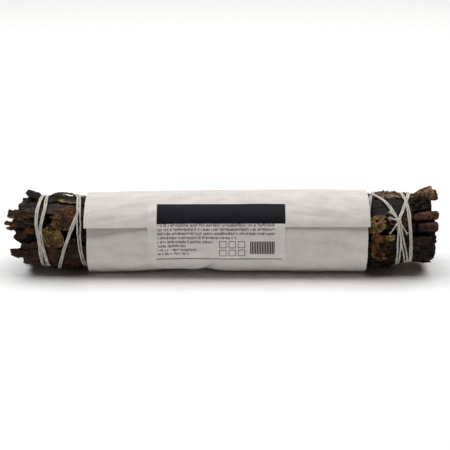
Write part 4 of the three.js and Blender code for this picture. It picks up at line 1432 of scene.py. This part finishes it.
class SMUDGE_OT_paper_label(bpy.types.Operator):
    """Stick the printed label over the paper's edge"""
    bl_idname = "smudge_stick.paper_label"
    bl_label = "Paper Label"

    def execute(self, context):
        settings = context.scene.smudge_paper
        bm = new_leaves()
        self.patch(bm, 0, LABEL_LENGTH, 0, LABEL_HEIGHT, 0.5, 0, settings.label_thickness)
        material = paper_material("label_paper", settings.label, 0.00025, 0.55)
        finish_piece(bm, "printed_label", [material], "label_paper", "paper_label")

        bm = new_leaves()
        self.patch(bm, *BAND, cell=0.5)
        self.patch(bm, *RULE, cell=0.5)
        self.print_bars(bm)
        band = ink_material("thermal_print_black", settings.band)
        finish_piece(bm, "label_band", [band], "label_paper", "paper_label")

        bm = new_leaves()
        self.print_rows(bm)
        self.print_boxes(bm)
        small = ink_material("thermal_print_grey", settings.small_print)
        finish_piece(bm, "label_small_print", [small], "label_paper", "paper_label")
        return {"FINISHED"}

    def patch(
        self, bm, left, right, top, bottom, cell=1, proud=INK_PROUD, thickness=INK_THICKNESS,
    ):
        """Add a patch that follows the label, from millimetres along it and down it"""
        def place(u, v):
            s = lerp(left, right, (u + 1) / 2)
            down = lerp(bottom, top, (v + 1) / 2)
            x = LABEL_CENTRE - LABEL_LENGTH / 2 + s
            angle = LABEL_ANGLE + degrees((LABEL_HEIGHT / 2 - down) / PAPER_RADIUS)
            p = around(x, angle, label_skin(x, angle) + proud, paper_height(x))
            return p, Vector((s, down, 0)), UNWORN

        columns = max(1, ceil((right - left) / cell))
        rows = max(1, ceil((bottom - top) / cell))
        blade(bm, columns, rows, place, thickness)

    def print_rows(self, bm):
        """Rows of small plain strokes, in groups as long as words, which spell nothing"""
        for row, end in enumerate(PRINT_ENDS):
            line = PRINT_ROWS["first"] + PRINT_ROWS["pitch"] * row
            s = PRINT_ROWS["left"]
            n = 0
            while s < end - 0.5:
                seed = 60 * row + n
                tall = draw(seed) > 0.7
                top = line - PRINT_ROWS["height"] / 2 - (0.3 if tall else 0)
                bottom = line + PRINT_ROWS["height"] / 2 * (1 if draw(seed + 0.4) > 0.2 else 0.2)
                wide = 0.24 + 0.3 * draw(seed + 0.6)
                self.patch(bm, s, s + wide, top, bottom, proud=ROWS_PROUD)
                s += wide + (0.85 if draw(seed + 0.7) > 0.83 else 0.24)
                n += 1

    def print_boxes(self, bm):
        """Six plain squares in two rows"""
        size, line = BOXES["size"], BOXES["line"]
        for row in range(2):
            for column in range(3):
                left = BOXES["left"] + BOXES["pitch_x"] * column
                top = BOXES["top"] + BOXES["pitch_y"] * row
                right, bottom = left + size, top + size
                self.patch(bm, left, right, top, top + line)
                self.patch(bm, left, right, bottom - line, bottom)
                self.patch(bm, left, left + line, top + line, bottom - line)
                self.patch(bm, right - line, right, top + line, bottom - line)

    def print_bars(self, bm):
        """A plain block of even bars"""
        pitch = (BARS["right"] - BARS["left"]) / BARS["count"]
        for i in range(BARS["count"]):
            left = BARS["left"] + pitch * i
            self.patch(bm, left, left + 0.7 * pitch, BARS["top"], BARS["bottom"])


class SMUDGE_OT_stage(bpy.types.Operator):
    """Set the white floor, the soft studio lights and the camera"""
    bl_idname = "smudge_stick.stage"
    bl_label = "Stage"

    def execute(self, context):
        settings = context.scene.smudge_stage
        self.lay_floor(settings)
        self.hang_lights(context.scene, settings)
        self.place_camera(context.scene)
        return {"FINISHED"}

    def lay_floor(self, settings):
        bm = bmesh.new()
        bmesh.ops.create_grid(bm, x_segments=1, y_segments=1, size=settings.floor_size / 2)
        paper = paper_material("seamless_paper", settings.floor, 0.002, 0.9, 1.0)
        to_object(bm, "floor", [paper])

    def hang_lights(self, scene, settings):
        """An overhead softbox a little behind the stick, and a dim warm surround"""
        light = bpy.data.lights.new("softbox_overhead", "AREA")
        light.shape = "RECTANGLE"
        light.size = settings.light_width
        light.size_y = settings.light_depth
        light.energy = settings.light_energy
        lamp = bpy.data.objects.new("softbox_overhead", light)
        lamp.location = Vector((0, SOFTBOX_BEHIND, settings.light_height))
        scene.collection.objects.link(lamp)
        world = bpy.data.worlds.new("dim_surround")
        world.use_nodes = True
        background = world.node_tree.nodes["Background"]
        background.inputs["Color"].default_value = SURROUND_COLOUR
        background.inputs["Strength"].default_value = SURROUND_STRENGTH
        scene.world = world
        scene.view_settings.view_transform = "Standard"

    def place_camera(self, scene):
        a = radians(CAMERA_ELEVATION)
        back = Vector((0, -cos(a), sin(a)))
        right, up = CAMERA_AIM
        aim = around(0, 0, 0) + Vector((right, up * sin(a), up * cos(a)))
        camera = bpy.data.cameras.new("camera")
        camera.lens = CAMERA_LENS
        camera.sensor_width = 36
        camera.clip_start = 0.01
        lens = bpy.data.objects.new("camera", camera)
        lens.location = aim + back * CAMERA_DISTANCE
        lens.rotation_euler = (-back).to_track_quat("-Z", "Y").to_euler()
        scene.collection.objects.link(lens)
        scene.camera = lens


class SMUDGE_OT_leaf_finishes(bpy.types.Operator):
    """Mix the finish of each kind of dried leaf"""
    bl_idname = "smudge_stick.leaf_finishes"
    bl_label = "Leaf Finishes"

    def execute(self, context):
        for key in FINISHES:
            leaf_material(context.scene.smudge_leaves, key)
        return {"FINISHED"}


class SMUDGE_PT_panel(bpy.types.Panel):
    """The sidebar panel that lists the steps"""
    bl_idname = "SMUDGE_PT_panel"
    bl_label = "Smudge Stick"
    bl_space_type = "VIEW_3D"
    bl_region_type = "UI"
    bl_category = "Smudge Stick"

    def draw(self, context):
        for operator in OPERATORS:
            self.layout.operator(operator.bl_idname)


OPERATORS = [
    SMUDGE_OT_leaf_finishes,
    SMUDGE_OT_large_leaves,
    SMUDGE_OT_rolled_leaves,
    SMUDGE_OT_packed_leaves,
    SMUDGE_OT_binding_thread,
    SMUDGE_OT_paper_wrap,
    SMUDGE_OT_paper_label,
    SMUDGE_OT_stage,
]
SETTINGS = {
    "smudge_leaves": SmudgeLeafSettings,
    "smudge_thread": SmudgeThreadSettings,
    "smudge_paper": SmudgePaperSettings,
    "smudge_stage": SmudgeStageSettings,
}


def register():
    for group in [*SETTINGS.values(), *OPERATORS, SMUDGE_PT_panel]:
        bpy.utils.register_class(group)
    for name, group in SETTINGS.items():
        setattr(bpy.types.Scene, name, PointerProperty(type=group))


def unregister():
    for name in SETTINGS:
        delattr(bpy.types.Scene, name)
    for group in [SMUDGE_PT_panel, *reversed(OPERATORS), *SETTINGS.values()]:
        bpy.utils.unregister_class(group)


def main():
    register()
    bpy.ops.smudge_stick.leaf_finishes()
    bpy.ops.smudge_stick.large_leaves()
    bpy.ops.smudge_stick.rolled_leaves()
    bpy.ops.smudge_stick.packed_leaves()
    bpy.ops.smudge_stick.binding_thread()
    bpy.ops.smudge_stick.paper_wrap()
    bpy.ops.smudge_stick.paper_label()
    bpy.ops.smudge_stick.stage()


if __name__ == "__main__":
    main()
